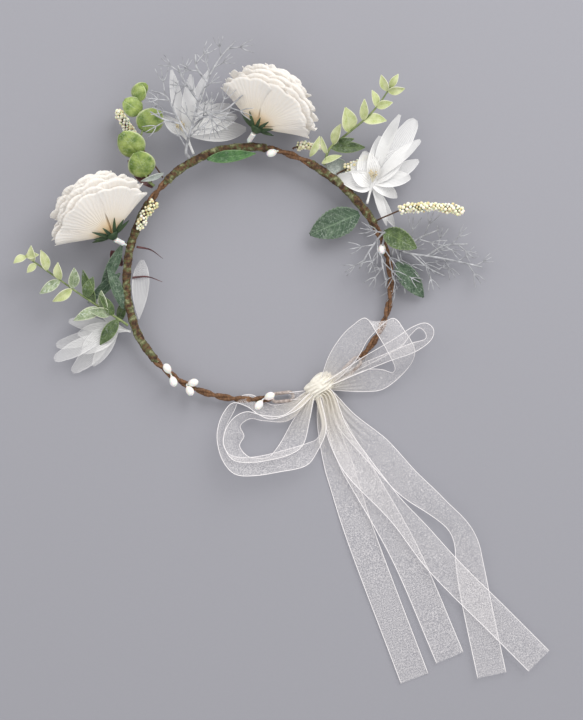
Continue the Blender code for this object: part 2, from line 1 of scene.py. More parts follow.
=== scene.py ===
# %% [markdown]
# # A bridal flower crown
# A ring of twisted, paper-wrapped wire carries silk flowers, plastic greenery and berries, and an
# organza ribbon ties its two ends. The solid model of the crown is already made and does not move.
# This lesson builds the looks around it, one piece at a time, each as a surface that numpy works out.

# %% Load the solid model
import math

import bpy
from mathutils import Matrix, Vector
import numpy as np


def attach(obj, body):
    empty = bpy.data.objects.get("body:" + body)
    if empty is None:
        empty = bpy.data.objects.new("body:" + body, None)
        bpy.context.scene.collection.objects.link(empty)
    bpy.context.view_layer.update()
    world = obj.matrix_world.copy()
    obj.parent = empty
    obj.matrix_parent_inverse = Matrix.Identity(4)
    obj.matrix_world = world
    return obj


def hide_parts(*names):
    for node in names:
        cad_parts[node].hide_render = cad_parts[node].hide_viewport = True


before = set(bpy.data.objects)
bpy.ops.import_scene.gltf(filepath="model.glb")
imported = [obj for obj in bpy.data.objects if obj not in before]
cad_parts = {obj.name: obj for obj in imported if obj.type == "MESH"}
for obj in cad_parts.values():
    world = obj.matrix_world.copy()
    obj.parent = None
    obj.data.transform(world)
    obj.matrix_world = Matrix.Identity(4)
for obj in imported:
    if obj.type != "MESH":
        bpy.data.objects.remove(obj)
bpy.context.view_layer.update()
MM = 0.001
UP = np.array([0.0, 0.0, 1.0])

# %% [markdown]
# ## Places on the ring
# Every stem starts on the vine, so the vine's middle line is needed first. It is a circle with a small
# oval and a small three-sided wave, and it leans down towards the knot. A formula is better than
# measured points here because it gives a place and a direction at any angle.

# %% The ring's middle line
RING_RADIUS = 89.0
OVAL, OVAL_TURN = 2.3, 11.0
WAVE, WAVE_TURN = 2.3, 16.0
VINE_LOW, VINE_HIGH = 4.0, 17.0
KNOT_TURN = -60.0
VINE_START, VINE_END = -38.0, 276.5
TAPE_OUTER = 3.0


def unit(vectors):
    """Vectors divided by their own length."""
    vectors = np.asarray(vectors, float)
    return vectors / np.linalg.norm(vectors, axis=-1, keepdims=True)


def ring(degrees):
    """Radius 89 + 2.3 cos 2(turn + 11) + 2.3 cos 3(turn + 16); height from 4 at the knot to 17 across."""
    turn = np.radians(degrees)
    radius = RING_RADIUS + OVAL * np.cos(2 * (turn + math.radians(OVAL_TURN)))
    radius = radius + WAVE * np.cos(3 * (turn + math.radians(WAVE_TURN)))
    lean = (1 - np.cos(turn - math.radians(KNOT_TURN))) / 2
    height = VINE_LOW + (VINE_HIGH - VINE_LOW) * lean
    return np.stack([radius * np.cos(turn), radius * np.sin(turn), height], axis=-1)


def ring_tangent(degrees):
    """The way along the ring: the difference of two places half a degree either side."""
    return unit(ring(np.asarray(degrees) + 0.5) - ring(np.asarray(degrees) - 0.5))


def outward(degrees):
    """Square to the ring and level, away from its middle: the tangent crossed with up."""
    return unit(np.cross(ring_tangent(degrees), UP))


def heading(degrees, pitch=0.0):
    """(cos p cos h, cos p sin h, sin p) for a heading h in the ring's plane and a pitch p above it."""
    h, p = math.radians(degrees), math.radians(pitch)
    return np.array([math.cos(p) * math.cos(h), math.cos(p) * math.sin(h), math.sin(p)])


def foot(degrees, way, radius=0.75):
    """Where a stem that leaves the vine's middle this way comes clear of the vine's wrapping."""
    across = math.sqrt(max(0.05, 1 - float(way @ ring_tangent(degrees)) ** 2))
    return ring(degrees) + way * ((TAPE_OUTER + 0.3 + radius) / across)


knot = ring(KNOT_TURN) * [1, 1, 0]
print("knot at", knot.round(2), "mm")

# %% [markdown]
# ## Surfaces on grids
# A leaf, a petal, a ribbon and a wire are all the same kind of mesh: a grid of points with two
# parameters. One helper turns such a grid into faces with a UV map whose first value runs across and
# whose second runs along, so every material can follow its own piece.

# %% Turn grids of points into one mesh object
def skin(points, wrap=False, tint=0.0):
    """Quads between neighbours on a grid of (along, across) points; a wrapped grid is capped at its ends."""
    points = np.asarray(points, float)
    rows, columns = points.shape[:2]
    spans = columns if wrap else columns - 1
    i, j = np.meshgrid(np.arange(rows - 1), np.arange(spans), indexing="ij")
    after = (j + 1) % columns
    this, following = i * columns, (i + 1) * columns
    quads = np.stack([this + j, this + after, following + after, following + j], -1)
    u = np.stack([j, j + 1, j + 1, j], -1) / spans
    v = np.stack([i, i, i + 1, i + 1], -1) / (rows - 1)
    part = {"co": points.reshape(-1, 3), "quads": quads.reshape(-1, 4)}
    part["uv"] = np.stack([u, v], -1).reshape(-1, 4, 2)
    part["caps"] = [np.arange(columns)[::-1], np.arange(columns) + (rows - 1) * columns] if wrap else []
    tint = np.asarray(tint, float).reshape(-1, 1) * np.ones((1, columns))
    part["tint"] = np.broadcast_to(tint, (rows, columns))
    if wrap:
        a, b, c = (part["co"][part["quads"][:, k]] for k in range(3))
        middle = points.mean(axis=1)[part["quads"][:, 0] // columns]
        if np.einsum("ij,ij->", np.cross(b - a, c - a), a - middle) < 0:
            part["quads"], part["uv"] = part["quads"][:, ::-1], part["uv"][:, ::-1]
            part["caps"] = [cap[::-1] for cap in part["caps"]]
    return part


def build(name, parts, material, body, replaces=(), thickness=0.0):
    """Joins parts, in millimetres, into one smooth object that rides on a body and stands for solid nodes."""
    sizes = np.cumsum([0] + [len(part["co"]) for part in parts])
    faces, uvs = [], []
    for part, offset in zip(parts, sizes):
        faces += (part["quads"] + offset).tolist() + [(cap + offset).tolist() for cap in part["caps"]]
        uvs += [part["uv"].reshape(-1, 2)] + [np.full((len(cap), 2), 0.5) for cap in part["caps"]]
    mesh = bpy.data.meshes.new(name)
    mesh.from_pydata((np.concatenate([part["co"] for part in parts]) * MM).tolist(), [], faces)
    layer = mesh.uv_layers.new(name="UVMap")
    layer.data.foreach_set("uv", np.concatenate(uvs).astype(np.float32).ravel())
    tint = mesh.attributes.new("tint", "FLOAT", "POINT")
    tint.data.foreach_set("value", np.concatenate([p["tint"].ravel() for p in parts]).astype(np.float32))
    mesh.polygons.foreach_set("use_smooth", [True] * len(mesh.polygons))
    mesh.materials.append(material)
    made = bpy.data.objects.new(name, mesh)
    bpy.context.scene.collection.objects.link(made)
    if thickness:
        wall = made.modifiers.new("thickness", "SOLIDIFY")
        wall.thickness, wall.offset = thickness * MM, 0.0
    if body:
        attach(made, body)
    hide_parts(*replaces)
    print(name, len(faces), "faces")
    return made


# %% [markdown]
# ## Curves, tubes and blades
# A stem is a circle carried along a curve, and a leaf is a flat line carried along one while its width
# swells and closes. Both need a smooth curve through a few chosen points. Catmull-Rom is used because it
# passes through its points, so a stem goes exactly where it is told.

# %% Curves, tubes and blades
def curve(points, count):
    """Catmull-Rom: each span is a cubic blend of its two ends and the points before and after them."""
    p = np.asarray(points, float)
    p = np.vstack([2 * p[0] - p[1], p, 2 * p[-1] - p[-2]])
    s = np.linspace(0, len(p) - 3, count)
    i = np.minimum(s.astype(int), len(p) - 4)
    t = (s - i)[:, None]
    a, b, c, d = p[i], p[i + 1], p[i + 2], p[i + 3]
    return b + ((c - a) * t + (2 * a - 5 * b + 4 * c - d) * t**2 + (3 * b - a - 3 * c + d) * t**3) / 2


def distances(path):
    """How far along a path each of its points is: the steps between them, added up."""
    return np.concatenate([[0], np.cumsum(np.linalg.norm(np.diff(path, axis=0), axis=1))])


def length_of(path):
    """A path's whole length: the sum of its steps."""
    return float(np.linalg.norm(np.diff(path, axis=0), axis=1).sum())


def across(path):
    """Two directions square to a path: along x reference, and square to that again."""
    along = unit(np.gradient(path, axis=0))
    reference = np.eye(3)[np.argmin(np.abs(along).max(axis=0))]
    side = unit(np.cross(along, reference))
    return side, np.cross(side, along)


def tube(path, radius, sides=8, tint=0.0):
    """Path + radius (cos k side + sin k top) for k round the circle; radius may change along and around."""
    side, top = across(path)
    turn = np.linspace(0, 2 * math.pi, sides, endpoint=False)[None, :, None]
    radius = np.asarray(radius, float)
    radius = radius[..., None] if radius.ndim == 2 else np.broadcast_to(radius, (len(path),))[:, None, None]
    spoke = np.cos(turn) * side[:, None] + np.sin(turn) * top[:, None]
    return skin(path[:, None] + radius * spoke, True, tint)


def lathe(base, way, profile, sides=16, tint=0.0):
    """A profile of (distance along, radius) pairs, smoothed and turned round an axis."""
    profile = curve(np.column_stack([np.asarray(profile, float), np.zeros(len(profile))]), 4 * len(profile))
    side = unit(np.cross(way, UP if abs(way[2]) < 0.9 else [1.0, 0, 0]))
    turn = np.linspace(0, 2 * math.pi, sides, endpoint=False)[None, :, None]
    spoke = np.cos(turn) * side + np.sin(turn) * np.cross(side, way)
    radius = np.maximum(profile[:, 1], 0.05)[:, None, None]
    return skin(base + profile[:, 0][:, None, None] * way + spoke * radius, True, tint)


def blade(base, way, length, width, arch=0.0, roundness=0.85, cup=0.0, skew=1.0, teeth=0, ripple=0.0,
          roll=0.0, blunt=0.0, tint=0.0, rows=20, columns=9, phase=0.0):
    """A leaf: half width = sin(pi t^skew)^roundness; height = arch sin(pi t) + cup u^2 + ripple, u across.

    Blunt keeps the half width from closing towards the tip, and teeth cuts saw teeth into the edge.
    """
    way = unit(way)
    side = unit(np.cross(way, UP if abs(way[2]) < 0.9 else [1.0, 0, 0]))
    top = np.cross(side, way)
    r = math.radians(roll)
    side, top = side * math.cos(r) + top * math.sin(r), top * math.cos(r) - side * math.sin(r)
    t, u = np.linspace(0, 1, rows)[:, None], np.linspace(-1, 1, columns)[None, :]
    swell = np.sin(math.pi * np.clip(t, 0.02, 0.98) ** skew) ** roundness
    swell = np.maximum(swell, blunt * np.clip((t - 0.5) * 6, 0, 1) * np.sqrt(np.clip(1.02 - t**12, 0, 1)))
    half = width / 2 * swell
    if teeth:
        half = half * (1 - 0.10 * ((t * teeth) % 1) * np.abs(u) ** 5)
    rise = arch * np.sin(math.pi * t) + cup * half * u**2
    rise = rise + ripple * t * np.sin(9 * t + 2.4 * u + phase) * np.abs(u)
    grid = base + (way * length) * t[..., None] + side * (half * u)[..., None] + top * rise[..., None]
    return skin(grid, False, tint)


# %% [markdown]
# ## Finishes
# Silk, flocked leaves, moulded plastic, crepe tape and organza all differ mostly in how their colour
# changes over a few millimetres. A small class keeps the node code short: each call adds one node and
# returns its output, so that a finish reads as a recipe.

# %% A short way to write a finish
class Finish:
    """A Principled material with short calls for the nodes that these finishes share."""

    def __init__(self, name, roughness, **shader):
        """Further shader inputs are given by their names, with _ for each space."""
        self.made = bpy.data.materials.new(name)
        self.made.use_nodes = True
        self.tree = self.made.node_tree
        self.shader = self.tree.nodes["Principled BSDF"]
        self.shader.inputs["Roughness"].default_value = roughness
        for key, value in shader.items():
            self.shader.inputs[key.replace("_", " ")].default_value = value
        self.place = self.node("ShaderNodeTexCoord").outputs["Object"]
        self.uv = self.node("ShaderNodeUVMap").outputs["UV"]
        split = self.node("ShaderNodeSeparateXYZ", {0: self.uv})
        self.across, self.along = split.outputs[0], split.outputs[1]
        tint = self.node("ShaderNodeAttribute")
        tint.attribute_name = "tint"
        self.tint = tint.outputs["Fac"]

    def node(self, kind, inputs=None):
        """A node of this kind, each input linked to a socket or set to a value."""
        made = self.tree.nodes.new(kind)
        for key, value in (inputs or {}).items():
            if isinstance(value, bpy.types.NodeSocket):
                self.tree.links.new(value, made.inputs[key])
            else:
                made.inputs[key].default_value = value
        return made

    def noise(self, scale, detail=3.0):
        """Noise on the object's own coordinates, scale features to the metre."""
        made = self.node("ShaderNodeTexNoise", {"Vector": self.place, "Scale": scale, "Detail": detail})
        return made.outputs[0]

    def sum(self, operation, a, b=0.0, c=0.0):
        """One step of arithmetic on a, b and c, such as MULTIPLY_ADD for a b + c."""
        made = self.node("ShaderNodeMath", {0: a, 1: b, 2: c})
        made.operation = operation
        return made.outputs[0]

    def ramp(self, factor, *stops):
        """Colours at places from 0 to 1, blended in between."""
        made = self.node("ShaderNodeValToRGB", {0: factor})
        elements = made.color_ramp.elements
        for index, (place, colour) in enumerate(stops):
            element = elements[index] if index < 2 else elements.new(place)
            element.position, element.color = place, (*colour, 1)
        return made.outputs[0]

    def mix(self, factor, a, b):
        """Colour a where the factor is 0, colour b where it is 1."""
        made = self.tree.nodes.new("ShaderNodeMix")
        made.data_type = "RGBA"
        for key, value in ((0, factor), (6, a), (7, b)):
            if isinstance(value, bpy.types.NodeSocket):
                self.tree.links.new(value, made.inputs[key])
            else:
                made.inputs[key].default_value = value if key == 0 else (*value, 1)
        return made.outputs[2]

    def wave(self, value, count, sharp=1.0):
        """(0.5 + 0.5 sin(2 pi count value)) ^ sharp"""
        turned = self.sum("SINE", self.sum("MULTIPLY", value, 2 * math.pi * count))
        return self.sum("POWER", self.sum("MULTIPLY_ADD", turned, 0.5, 0.5), sharp)

    def set(self, key, socket):
        """Links a result to one of the shader's own inputs."""
        self.tree.links.new(socket, self.shader.inputs[key])

    def bump(self, height, strength, distance=0.0005):
        """Relief from a height, distance being its depth in metres."""
        made = self.node("ShaderNodeBump", {"Strength": strength, "Distance": distance, "Height": height})
        self.tree.links.new(made.outputs[0], self.shader.inputs["Normal"])

    def edge(self, width):
        """1 at both long edges of a blade or ribbon, falling to 0 within this share of its width."""
        off = self.sum("ABSOLUTE", self.sum("SUBTRACT", self.across, 0.5))
        made = self.node("ShaderNodeMapRange", {"Value": off, "From Min": 0.5 - width, "From Max": 0.5})
        return made.outputs[0]


# %% [markdown]
# ## The camera, the floor and the light
# The crown is seen from straight above on a plain pale grey table, under large soft lights that leave
# only faint shadows inside the ring. A long lens from far off keeps the heights of the flowers from
# spreading the view.

# %% Camera, floor and lights
VIEW_MIDDLE = (0.0241, -0.0578)
VIEW_TALL = 0.5004
VIEW_HEIGHT = 1.6
SENSOR = 36.0
camera = bpy.data.objects.new("camera", bpy.data.cameras.new("camera"))
camera.location = (*VIEW_MIDDLE, VIEW_HEIGHT)
camera.data.sensor_width = SENSOR
camera.data.lens = SENSOR * VIEW_HEIGHT / VIEW_TALL
bpy.context.scene.collection.objects.link(camera)
bpy.context.scene.camera = camera
bpy.context.scene.view_settings.view_transform = "Standard"

floor_finish = Finish("table", 0.85)
grain = floor_finish.noise(900, 4)
floor_finish.set("Base Color", floor_finish.mix(grain, (0.302, 0.305, 0.344), (0.318, 0.320, 0.360)))
TABLE_HALF, TABLE_DROP = 12.0, 0.0004
corners = np.array([[-1, -1, 0], [1, -1, 0], [-1, 1, 0], [1, 1, 0]]) * TABLE_HALF - UP * TABLE_DROP
floor_mesh = bpy.data.meshes.new("table")
floor_mesh.from_pydata(corners.tolist(), [], [(0, 1, 3, 2)])
floor_mesh.materials.append(floor_finish.made)
floor = bpy.data.objects.new("table", floor_mesh)
bpy.context.scene.collection.objects.link(floor)

world = bpy.data.worlds.new("studio")
world.use_nodes = True
world.node_tree.nodes["Background"].inputs[0].default_value = (1.0, 0.985, 0.965, 1)
world.node_tree.nodes["Background"].inputs[1].default_value = 0.70
bpy.context.scene.world = world
# Each light: place, size and power.
for number, (place, size, power) in enumerate([
    ((0.75, 1.15, 1.1), 1.3, 24.0), ((-1.1, 0.6, 1.2), 1.2, 6.0), ((0.3, -1.3, 1.5), 1.4, 2.5),
]):
    lamp = bpy.data.lights.new(f"softbox_{number}", "AREA")
    lamp.size, lamp.energy, lamp.color = size, power, (1.0, 0.985, 0.96)
    light = bpy.data.objects.new(f"softbox_{number}", lamp)
    light.location = place
    light.rotation_euler = Vector(-unit(np.array(place))).to_track_quat("-Z", "Y").to_euler()
    bpy.context.scene.collection.objects.link(light)
print("camera lens", round(camera.data.lens, 1))

# %% [markdown]
# ## The vine
# Two wires wrapped in brown paper are twisted round each other. Each is a tube along a helix about the
# ring's middle line. The paper's spiral laps are real steps in the tube's radius as well as darker
# lines, because they catch the light along the whole ring.

# %% Paper-wrapped wires
paper = Finish("brown_paper", 0.7)
lap = paper.sum("FRACT", paper.sum("MULTIPLY_ADD", paper.along, 260.0, paper.across))
tone = paper.ramp(paper.noise(420, 5), (0.3, (0.065, 0.028, 0.012)), (0.72, (0.27, 0.135, 0.060)))
seam = paper.sum("MULTIPLY", paper.sum("POWER", lap, 6.0), 0.7)
paper.set("Base Color", paper.mix(seam, tone, (0.035, 0.015, 0.008)))
paper.bump(paper.sum("ADD", lap, paper.noise(900, 3)), 0.5, 0.0004)

STRAND_OFFSET, STRAND_PITCH, STRAND_DRAWN = 1.2, 27.0, 1.25
LAP_LENGTH, LAP_STEP = 1.9, 0.05


def strand(number):
    """Ring middle + offset (cos p outward + sin p up), where p grows by a full turn each pitch."""
    angle = np.linspace(VINE_START, VINE_END, 900)
    middle = ring(angle)
    gone = distances(middle)
    phase = 2 * math.pi * gone / STRAND_PITCH + math.pi * number
    wobble = 1 + 0.10 * np.sin(gone * 0.9 + number) + 0.05 * np.sin(gone * 2.3)
    path = middle + STRAND_OFFSET * (np.cos(phase)[:, None] * outward(angle) + np.sin(phase)[:, None] * UP)
    return tube(path, STRAND_DRAWN * wobble * (1 + LAP_STEP * ((gone / LAP_LENGTH) % 1)), 14)


for number, letter in enumerate("ab"):
    build(f"wrapped_wire_{letter}", [strand(number)], paper.made, "crown",
          [f"vine_strand_{letter}"])

# %% [markdown]
# ## Floral tape
# Where stems join the vine they are bound with stretchy green tape, which is wound at a slant and shows
# brown where it is thin. It is a sleeve whose radius steps at every turn of the winding, with bulges
# where stems are bound in.

# %% Bound sleeves
tape = Finish("crepe_tape", 0.8)
patch = tape.ramp(tape.noise(260, 5), (0.38, (0.040, 0.018, 0.009)), (0.47, (0.13, 0.066, 0.028)),
                  (0.54, (0.085, 0.10, 0.035)), (0.70, (0.34, 0.34, 0.19)))
lap = tape.sum("FRACT", tape.sum("MULTIPLY_ADD", tape.along, 42.0, tape.across))
seam = tape.sum("MULTIPLY", tape.sum("POWER", lap, 5.0), 0.6)
tape.set("Base Color", tape.mix(seam, patch, (0.03, 0.028, 0.012)))
tape.bump(tape.sum("ADD", lap, tape.noise(1200, 4)), 0.6, 0.0005)
# Each sleeve: where it starts and ends on the ring.
TAPES = {"tape_left": (144, 221), "tape_top": (84, 135), "tape_right": (22, 66)}
SLEEVE_RADIUS, WINDING, WINDING_STEP = 2.75, 3.1, 0.28
for name, (start, end) in TAPES.items():
    angle = np.linspace(start, end, 6 * (end - start))
    gone = (angle - start) * math.radians(1) * RING_RADIUS
    turn = np.linspace(0, 1, 16, endpoint=False)[None, :]
    laps = ((gone[:, None] / WINDING + turn) % 1) * WINDING_STEP
    lumps = 0.35 * np.sin(gone * 0.21)[:, None] * np.cos(2 * math.pi * turn + 1)
    lumps = lumps + 0.2 * np.sin(gone * 0.6)[:, None]
    taper = np.clip(np.minimum(angle - start, end - angle) / 2, 0.55, 1)[:, None]
    sleeve = tube(ring(angle), (SLEEVE_RADIUS + laps + lumps) * taper, 16)
    build(f"bound_{name}", [sleeve], tape.made, "crown", [name])

# %% [markdown]
# ## The wire eyelets
# Each end of the vine is bent back into a long closed eye that the ribbon is tied through. Its wire is
# covered in pale grey paper. It is a tube round a flat oblong made of two straight sides and two half
# circles.

# %% Eyelets
grey_wire = Finish("grey_paper_wire", 0.6)
tone = grey_wire.ramp(grey_wire.noise(500, 4), (0.3, (0.20, 0.15, 0.13)), (0.7, (0.56, 0.49, 0.46)))
grey_wire.set("Base Color", tone)
grey_wire.bump(grey_wire.noise(1500, 3), 0.4, 0.0003)
EYELET_LENGTH, EYELET_BEND, EYELET_WIRE, WRAPPING = 15.5, 2.9, 0.9, 1.3
for name, angle, sense in (("eyelet_left", VINE_END, 1), ("eyelet_right", VINE_START, -1)):
    way = ring_tangent(angle) * sense
    side = unit(np.cross(way, UP))
    end = ring(angle) + way * (EYELET_WIRE + 0.3)
    turn = np.linspace(0, 2 * math.pi, 64, endpoint=False)
    middle = np.where(np.cos(turn) > 0, EYELET_LENGTH - EYELET_BEND - EYELET_WIRE, EYELET_BEND)
    line = end + (middle + EYELET_BEND * np.cos(turn))[:, None] * way
    line = line + (EYELET_BEND * np.sin(turn))[:, None] * side
    out = unit(np.cos(turn)[:, None] * way + np.sin(turn)[:, None] * side)
    spin = np.linspace(0, 2 * math.pi, 10, endpoint=False)[None, :, None]
    lift = unit(np.cross(way, side))
    grid = line[:, None] + WRAPPING * EYELET_WIRE * (np.cos(spin) * out[:, None] + np.sin(spin) * lift)
    closed = skin(np.concatenate([grid, grid[:1]]), True)
    closed["caps"] = []
    build(f"wrapped_{name}", [closed], grey_wire.made, "crown", [name])

# %% [markdown]
# ## Silk petals
# The two big flowers are heat-formed silk: many thin petals in rings, pleated from a narrow base and
# frilled at the rim, cream with a peach heart. A petal is a patch of a cup, its angle round the axis
# and its distance from the base being the two parameters, so neighbours overlap as real ones do.

# %% Silk
silk = Finish("petal_silk", 0.75, Subsurface_Weight=0.12, Subsurface_Scale=0.002, Sheen_Weight=0.4)
silk.shader.inputs["Subsurface Radius"].default_value = (1.0, 0.8, 0.6)
base = silk.ramp(silk.along, (0.0, (0.78, 0.42, 0.14)), (0.17, (0.84, 0.60, 0.32)),
                 (0.40, (0.84, 0.755, 0.635)), (0.70, (0.85, 0.80, 0.745)), (1.0, (0.87, 0.845, 0.815)))
veins = silk.wave(silk.sum("ADD", silk.across, silk.sum("MULTIPLY", silk.noise(260, 2), 0.05)), 15, 1.5)
shade = silk.mix(silk.sum("MULTIPLY", veins, 0.16), base, (0.90, 0.78, 0.66))
silk.set("Base Color", silk.mix(silk.sum("MULTIPLY", silk.tint, 0.10), shade, (0.95, 0.84, 0.70)))
silk.bump(silk.sum("ADD", veins, silk.noise(700, 3)), 0.25, 0.0005)


def fan_petal(seat, axis, turn, lean, length, width, flat, random):
    """Distance t along the petal at an angle lean (1.12 - 0.12 t) from the axis; the fan is pressed flat.

    The rim's lobes are a power of |sin|, and the rest are small waves of seeded phase that grow with t.
    """
    t, u = np.linspace(0, 1, 20)[:, None], np.linspace(-1, 1, 37)[None, :]
    lobes = 0.055 * np.abs(np.sin(1.6 * math.pi * u + random[0])) ** 0.7 - 0.12 * u**4
    far = length * (0.04 + 0.96 * t * (1 + lobes * t**2)) + random[4]
    spin = turn + u * width * (0.40 + 0.60 * t**0.5)
    press = np.sqrt(np.cos(spin) ** 2 + (flat * np.sin(spin)) ** 2)
    angle = lean * (1.12 - 0.12 * t) + math.radians(4) * t**4 - 0.02 * u**2 * t
    angle = angle + t**3 * (0.030 * np.sin(4.5 * u + random[1]) + 0.008 * np.sin(9 * u + random[2]))
    angle = (angle + 0.004 * t * np.sin(40 * u + random[3])) * press
    side = unit(np.cross(axis, UP))
    top = np.cross(side, axis)
    spoke = (np.cos(spin) / press)[..., None] * side + (flat * np.sin(spin) / press)[..., None] * top
    return skin(seat + (far * np.cos(angle))[..., None] * axis + (far * np.sin(angle))[..., None] * spoke,
                False, random[5])


# %% [markdown]
# ## The two large flowers
# Each head has seven rings of petals in three groups, an outer skirt, an open middle and a closed
# heart. The head sits on a white plastic peg behind a star of dark sepals. Every ring lies on the same
# dome, so from the side the flower reads as a fan of scallops.

# %% Heads, sepals and pegs
# Each flower: angle on the ring, heading of its peg, heading of its face, seed.
ROSES = {"rose_left": (167.5, 142.0, 121.0, 11), "rose_top": (95.0, 56.0, 61.0, 23)}
ROSE_REACH, ROSE_HEIGHT, ROSE_FLAT = 15.0, 26.0, 0.52
SEPALS, NECK, PEG_LENGTH = 11, 4.6, 8.5
# Each ring: lean from the axis in degrees, petal length, petals, half width in degrees.
TIERS = {
    "outer_petals": [(68, 37.0, 6, 40), (60, 38.6, 6, 38)],
    "middle_petals": [(51, 40.0, 6, 42), (40, 41.2, 5, 50)],
    "heart": [(28, 42.0, 5, 58), (16, 42.0, 4, 78), (7, 41.0, 3, 110)],
}
sepal = Finish("dark_sepal", 0.5)
sepal.set("Base Color", sepal.ramp(sepal.noise(300, 4), (0.35, (0.012, 0.035, 0.014)),
                                   (0.75, (0.055, 0.10, 0.035))))
sepal.bump(sepal.wave(sepal.across, 5), 0.4, 0.0004)
plastic = Finish("white_peg", 0.3, Subsurface_Weight=0.3, Subsurface_Scale=0.003)
plastic.set("Base Color", plastic.ramp(plastic.noise(250, 3), (0.3, (0.80, 0.81, 0.78)),
                                       (0.7, (0.90, 0.90, 0.88))))
plastic.bump(plastic.noise(600, 2), 0.08, 0.0003)

for name, (angle, peg_heading, head, seed) in ROSES.items():
    random = np.random.default_rng(seed)
    axis, hub, body = heading(head), ring(angle), f"{name}_head"
    seat = hub + heading(peg_heading) * ROSE_REACH
    seat[2] = ROSE_HEIGHT
    for tier, rings in TIERS.items():
        parts = []
        for lean, length, count, width in rings:
            start = random.uniform(0, 2 * math.pi)
            for k in range(count):
                turn = start + 2 * math.pi * (k + random.uniform(-0.12, 0.12)) / count
                draw = np.append(random.uniform(0, 6, 4), [random.uniform(-2.4, 0.8), random.uniform(0, 1)])
                parts.append(fan_petal(seat, axis, turn, math.radians(lean), length, math.radians(width),
                                       ROSE_FLAT, draw))
        build(f"silk_{name}_{tier}", parts, silk.made, body, [f"{name}_{tier}"], 0.2)
    side = unit(np.cross(axis, UP))
    top = np.cross(side, axis)
    star = [lathe(seat - axis * 4.2, axis, [(0, 1.6), (1.6, 3.0), (3.2, 4.6), (4.0, 4.4)], 14)]
    for k in range(SEPALS):
        spin = 2 * math.pi * k / SEPALS + random.uniform(-0.15, 0.15)
        spoke = math.cos(spin) * side + math.sin(spin) * top * 0.7
        out = unit(spoke + axis * (random.uniform(0.08, 0.3) + 0.7 * abs(math.sin(spin))))
        star.append(blade(seat - axis * 1.4 + spoke * 3.0, out, random.uniform(9.0, 13.5), 2.4, 0.9, 0.7,
                          cup=0.3, skew=0.7, rows=14, columns=5))
    build(f"sepals_{name}", star, sepal.made, body, [f"{name}_calyx"], 0.35)
    start = foot(angle, unit(seat - hub), 0.6)
    neck = seat - axis * NECK
    shaft = unit(neck - start)
    wire_end = neck - shaft * PEG_LENGTH
    peg = [(0, 1.0), (0.4, 1.7), (1.2, 1.8), (4.0, 1.75), (7.8, 1.85), (8.4, 1.5)]
    parts = [tube(np.linspace(start, wire_end + shaft, 8), 0.7, 10), lathe(wire_end, shaft, peg, 16)]
    build(f"plastic_{name}_peg", parts, plastic.made, body, [f"{name}_peg"])

# %% [markdown]
# ## Long-petalled flowers
# Three flowers are cut from stiffened sheer fabric: long narrow petals, nearly white at the throat and
# see-through at the tips, with fine threads running along them. Each petal is one blade with a rippled
# edge. Alpha follows the petal's own length, because the fabric is doubled near the throat.

# %% Sheer petals
sheer = Finish("sheer_petal", 0.6, Sheen_Weight=0.2)
wandering = sheer.sum("MULTIPLY", sheer.noise(200, 3), 0.06)
threads = sheer.wave(sheer.sum("ADD", sheer.across, wandering), 11, 1.0)
sheer.set("Base Color", sheer.mix(threads, (0.86, 0.865, 0.875), (0.94, 0.94, 0.945)))
cover = sheer.ramp(sheer.along, *((place, (grey,) * 3) for place, grey in (
    (0.0, 0.95), (0.35, 0.90), (0.75, 0.66), (1.0, 0.58))))
cover = sheer.sum("MULTIPLY", cover, sheer.sum("MULTIPLY_ADD", sheer.tint, -0.62, 1.0))
cover = sheer.sum("ADD", cover, sheer.sum("MULTIPLY", sheer.edge(0.09), 0.24))
cover = sheer.sum("ADD", cover, sheer.sum("MULTIPLY", threads, 0.08))
sheer.set("Alpha", sheer.sum("MINIMUM", cover, 0.97))
sheer.bump(sheer.sum("ADD", threads, sheer.noise(500, 3)), 0.4, 0.0006)

# Each flower: angle on the ring, heading, pitch, reach to its throat, body, petals.
# Each petal: heading, pitch, length, width, arch, bluntness of its tip, roll, and how far out it is widest.
LILIES = {
    "lily_top": (117.5, 112, 0, 19.0, "crown", [
        (102, 14, 45, 8.5, 3, 0, 8, 1.0), (84, 20, 42, 9.5, 3, 0, -10, 1.0), (69, 12, 47, 7.5, 3, 0, 14, 1.0),
        (34, -12, 38, 14, 2, 0.3, 6, 1.2), (6, -14, 43, 14, 2, 0.3, -8, 1.2),
        (20, -10, 38, 13, 2, 0.3, 8, 1.1), (140, 12, 20, 9, 2, 0, 20, 0.9),
        (52, -6, 30, 12, 2, 0.2, -14, 1.0),
    ]),
    "lily_right": (31, 76, -5, 20.0, "lily_right_head", [
        (68, 12, 51, 9, 4, 0.5, 22, 1.3), (56, 4, 53, 14, 3, 0.85, -8, 1.7), (41, 14, 45, 9, 4, 0.7, 14, 1.5),
        (26, -2, 36, 10, 3, 0.6, -12, 1.3), (8, 10, 27, 12, 3, 0.6, 10, 1.2),
        (-62, -8, 34, 7, 2, 0.3, -10, 1.0), (-71, -4, 31, 6, 2, 0.3, 16, 1.0),
        (170, 8, 25, 15, 4, 0, 6, 0.6), (138, 12, 20, 18, 4, 0, -10, 0.8), (104, 12, 23, 16, 4, 0, 4, 0.9),
        (80, 4, 33, 16, 4, 0.1, -16, 0.9), (46, 8, 32, 16, 4, 0.3, 8, 1.0),
        (-30, 2, 20, 10, 3, 0.3, 12, 0.9),
    ]),
    "lily_left": (-154.5, 168, -14, 14.5, "crown", [
        (195, -6, 45, 10, 1, 0.8, 8, 1.4), (206, 0, 49, 11, 2, 0.8, -8, 1.5),
        (223, -6, 44, 12, 1, 0.7, 10, 1.3), (171, -6, 35, 10, 1, 0.6, -12, 1.2),
        (122, -6, 34, 10, 1, 0.4, 14, 1.0), (187, 4, 28, 14, 2, 0.3, 14, 0.9),
        (214, 4, 30, 15, 2, 0.3, -12, 0.9), (236, 2, 31, 9, 1, 0.5, 4, 1.1),
    ]),
}
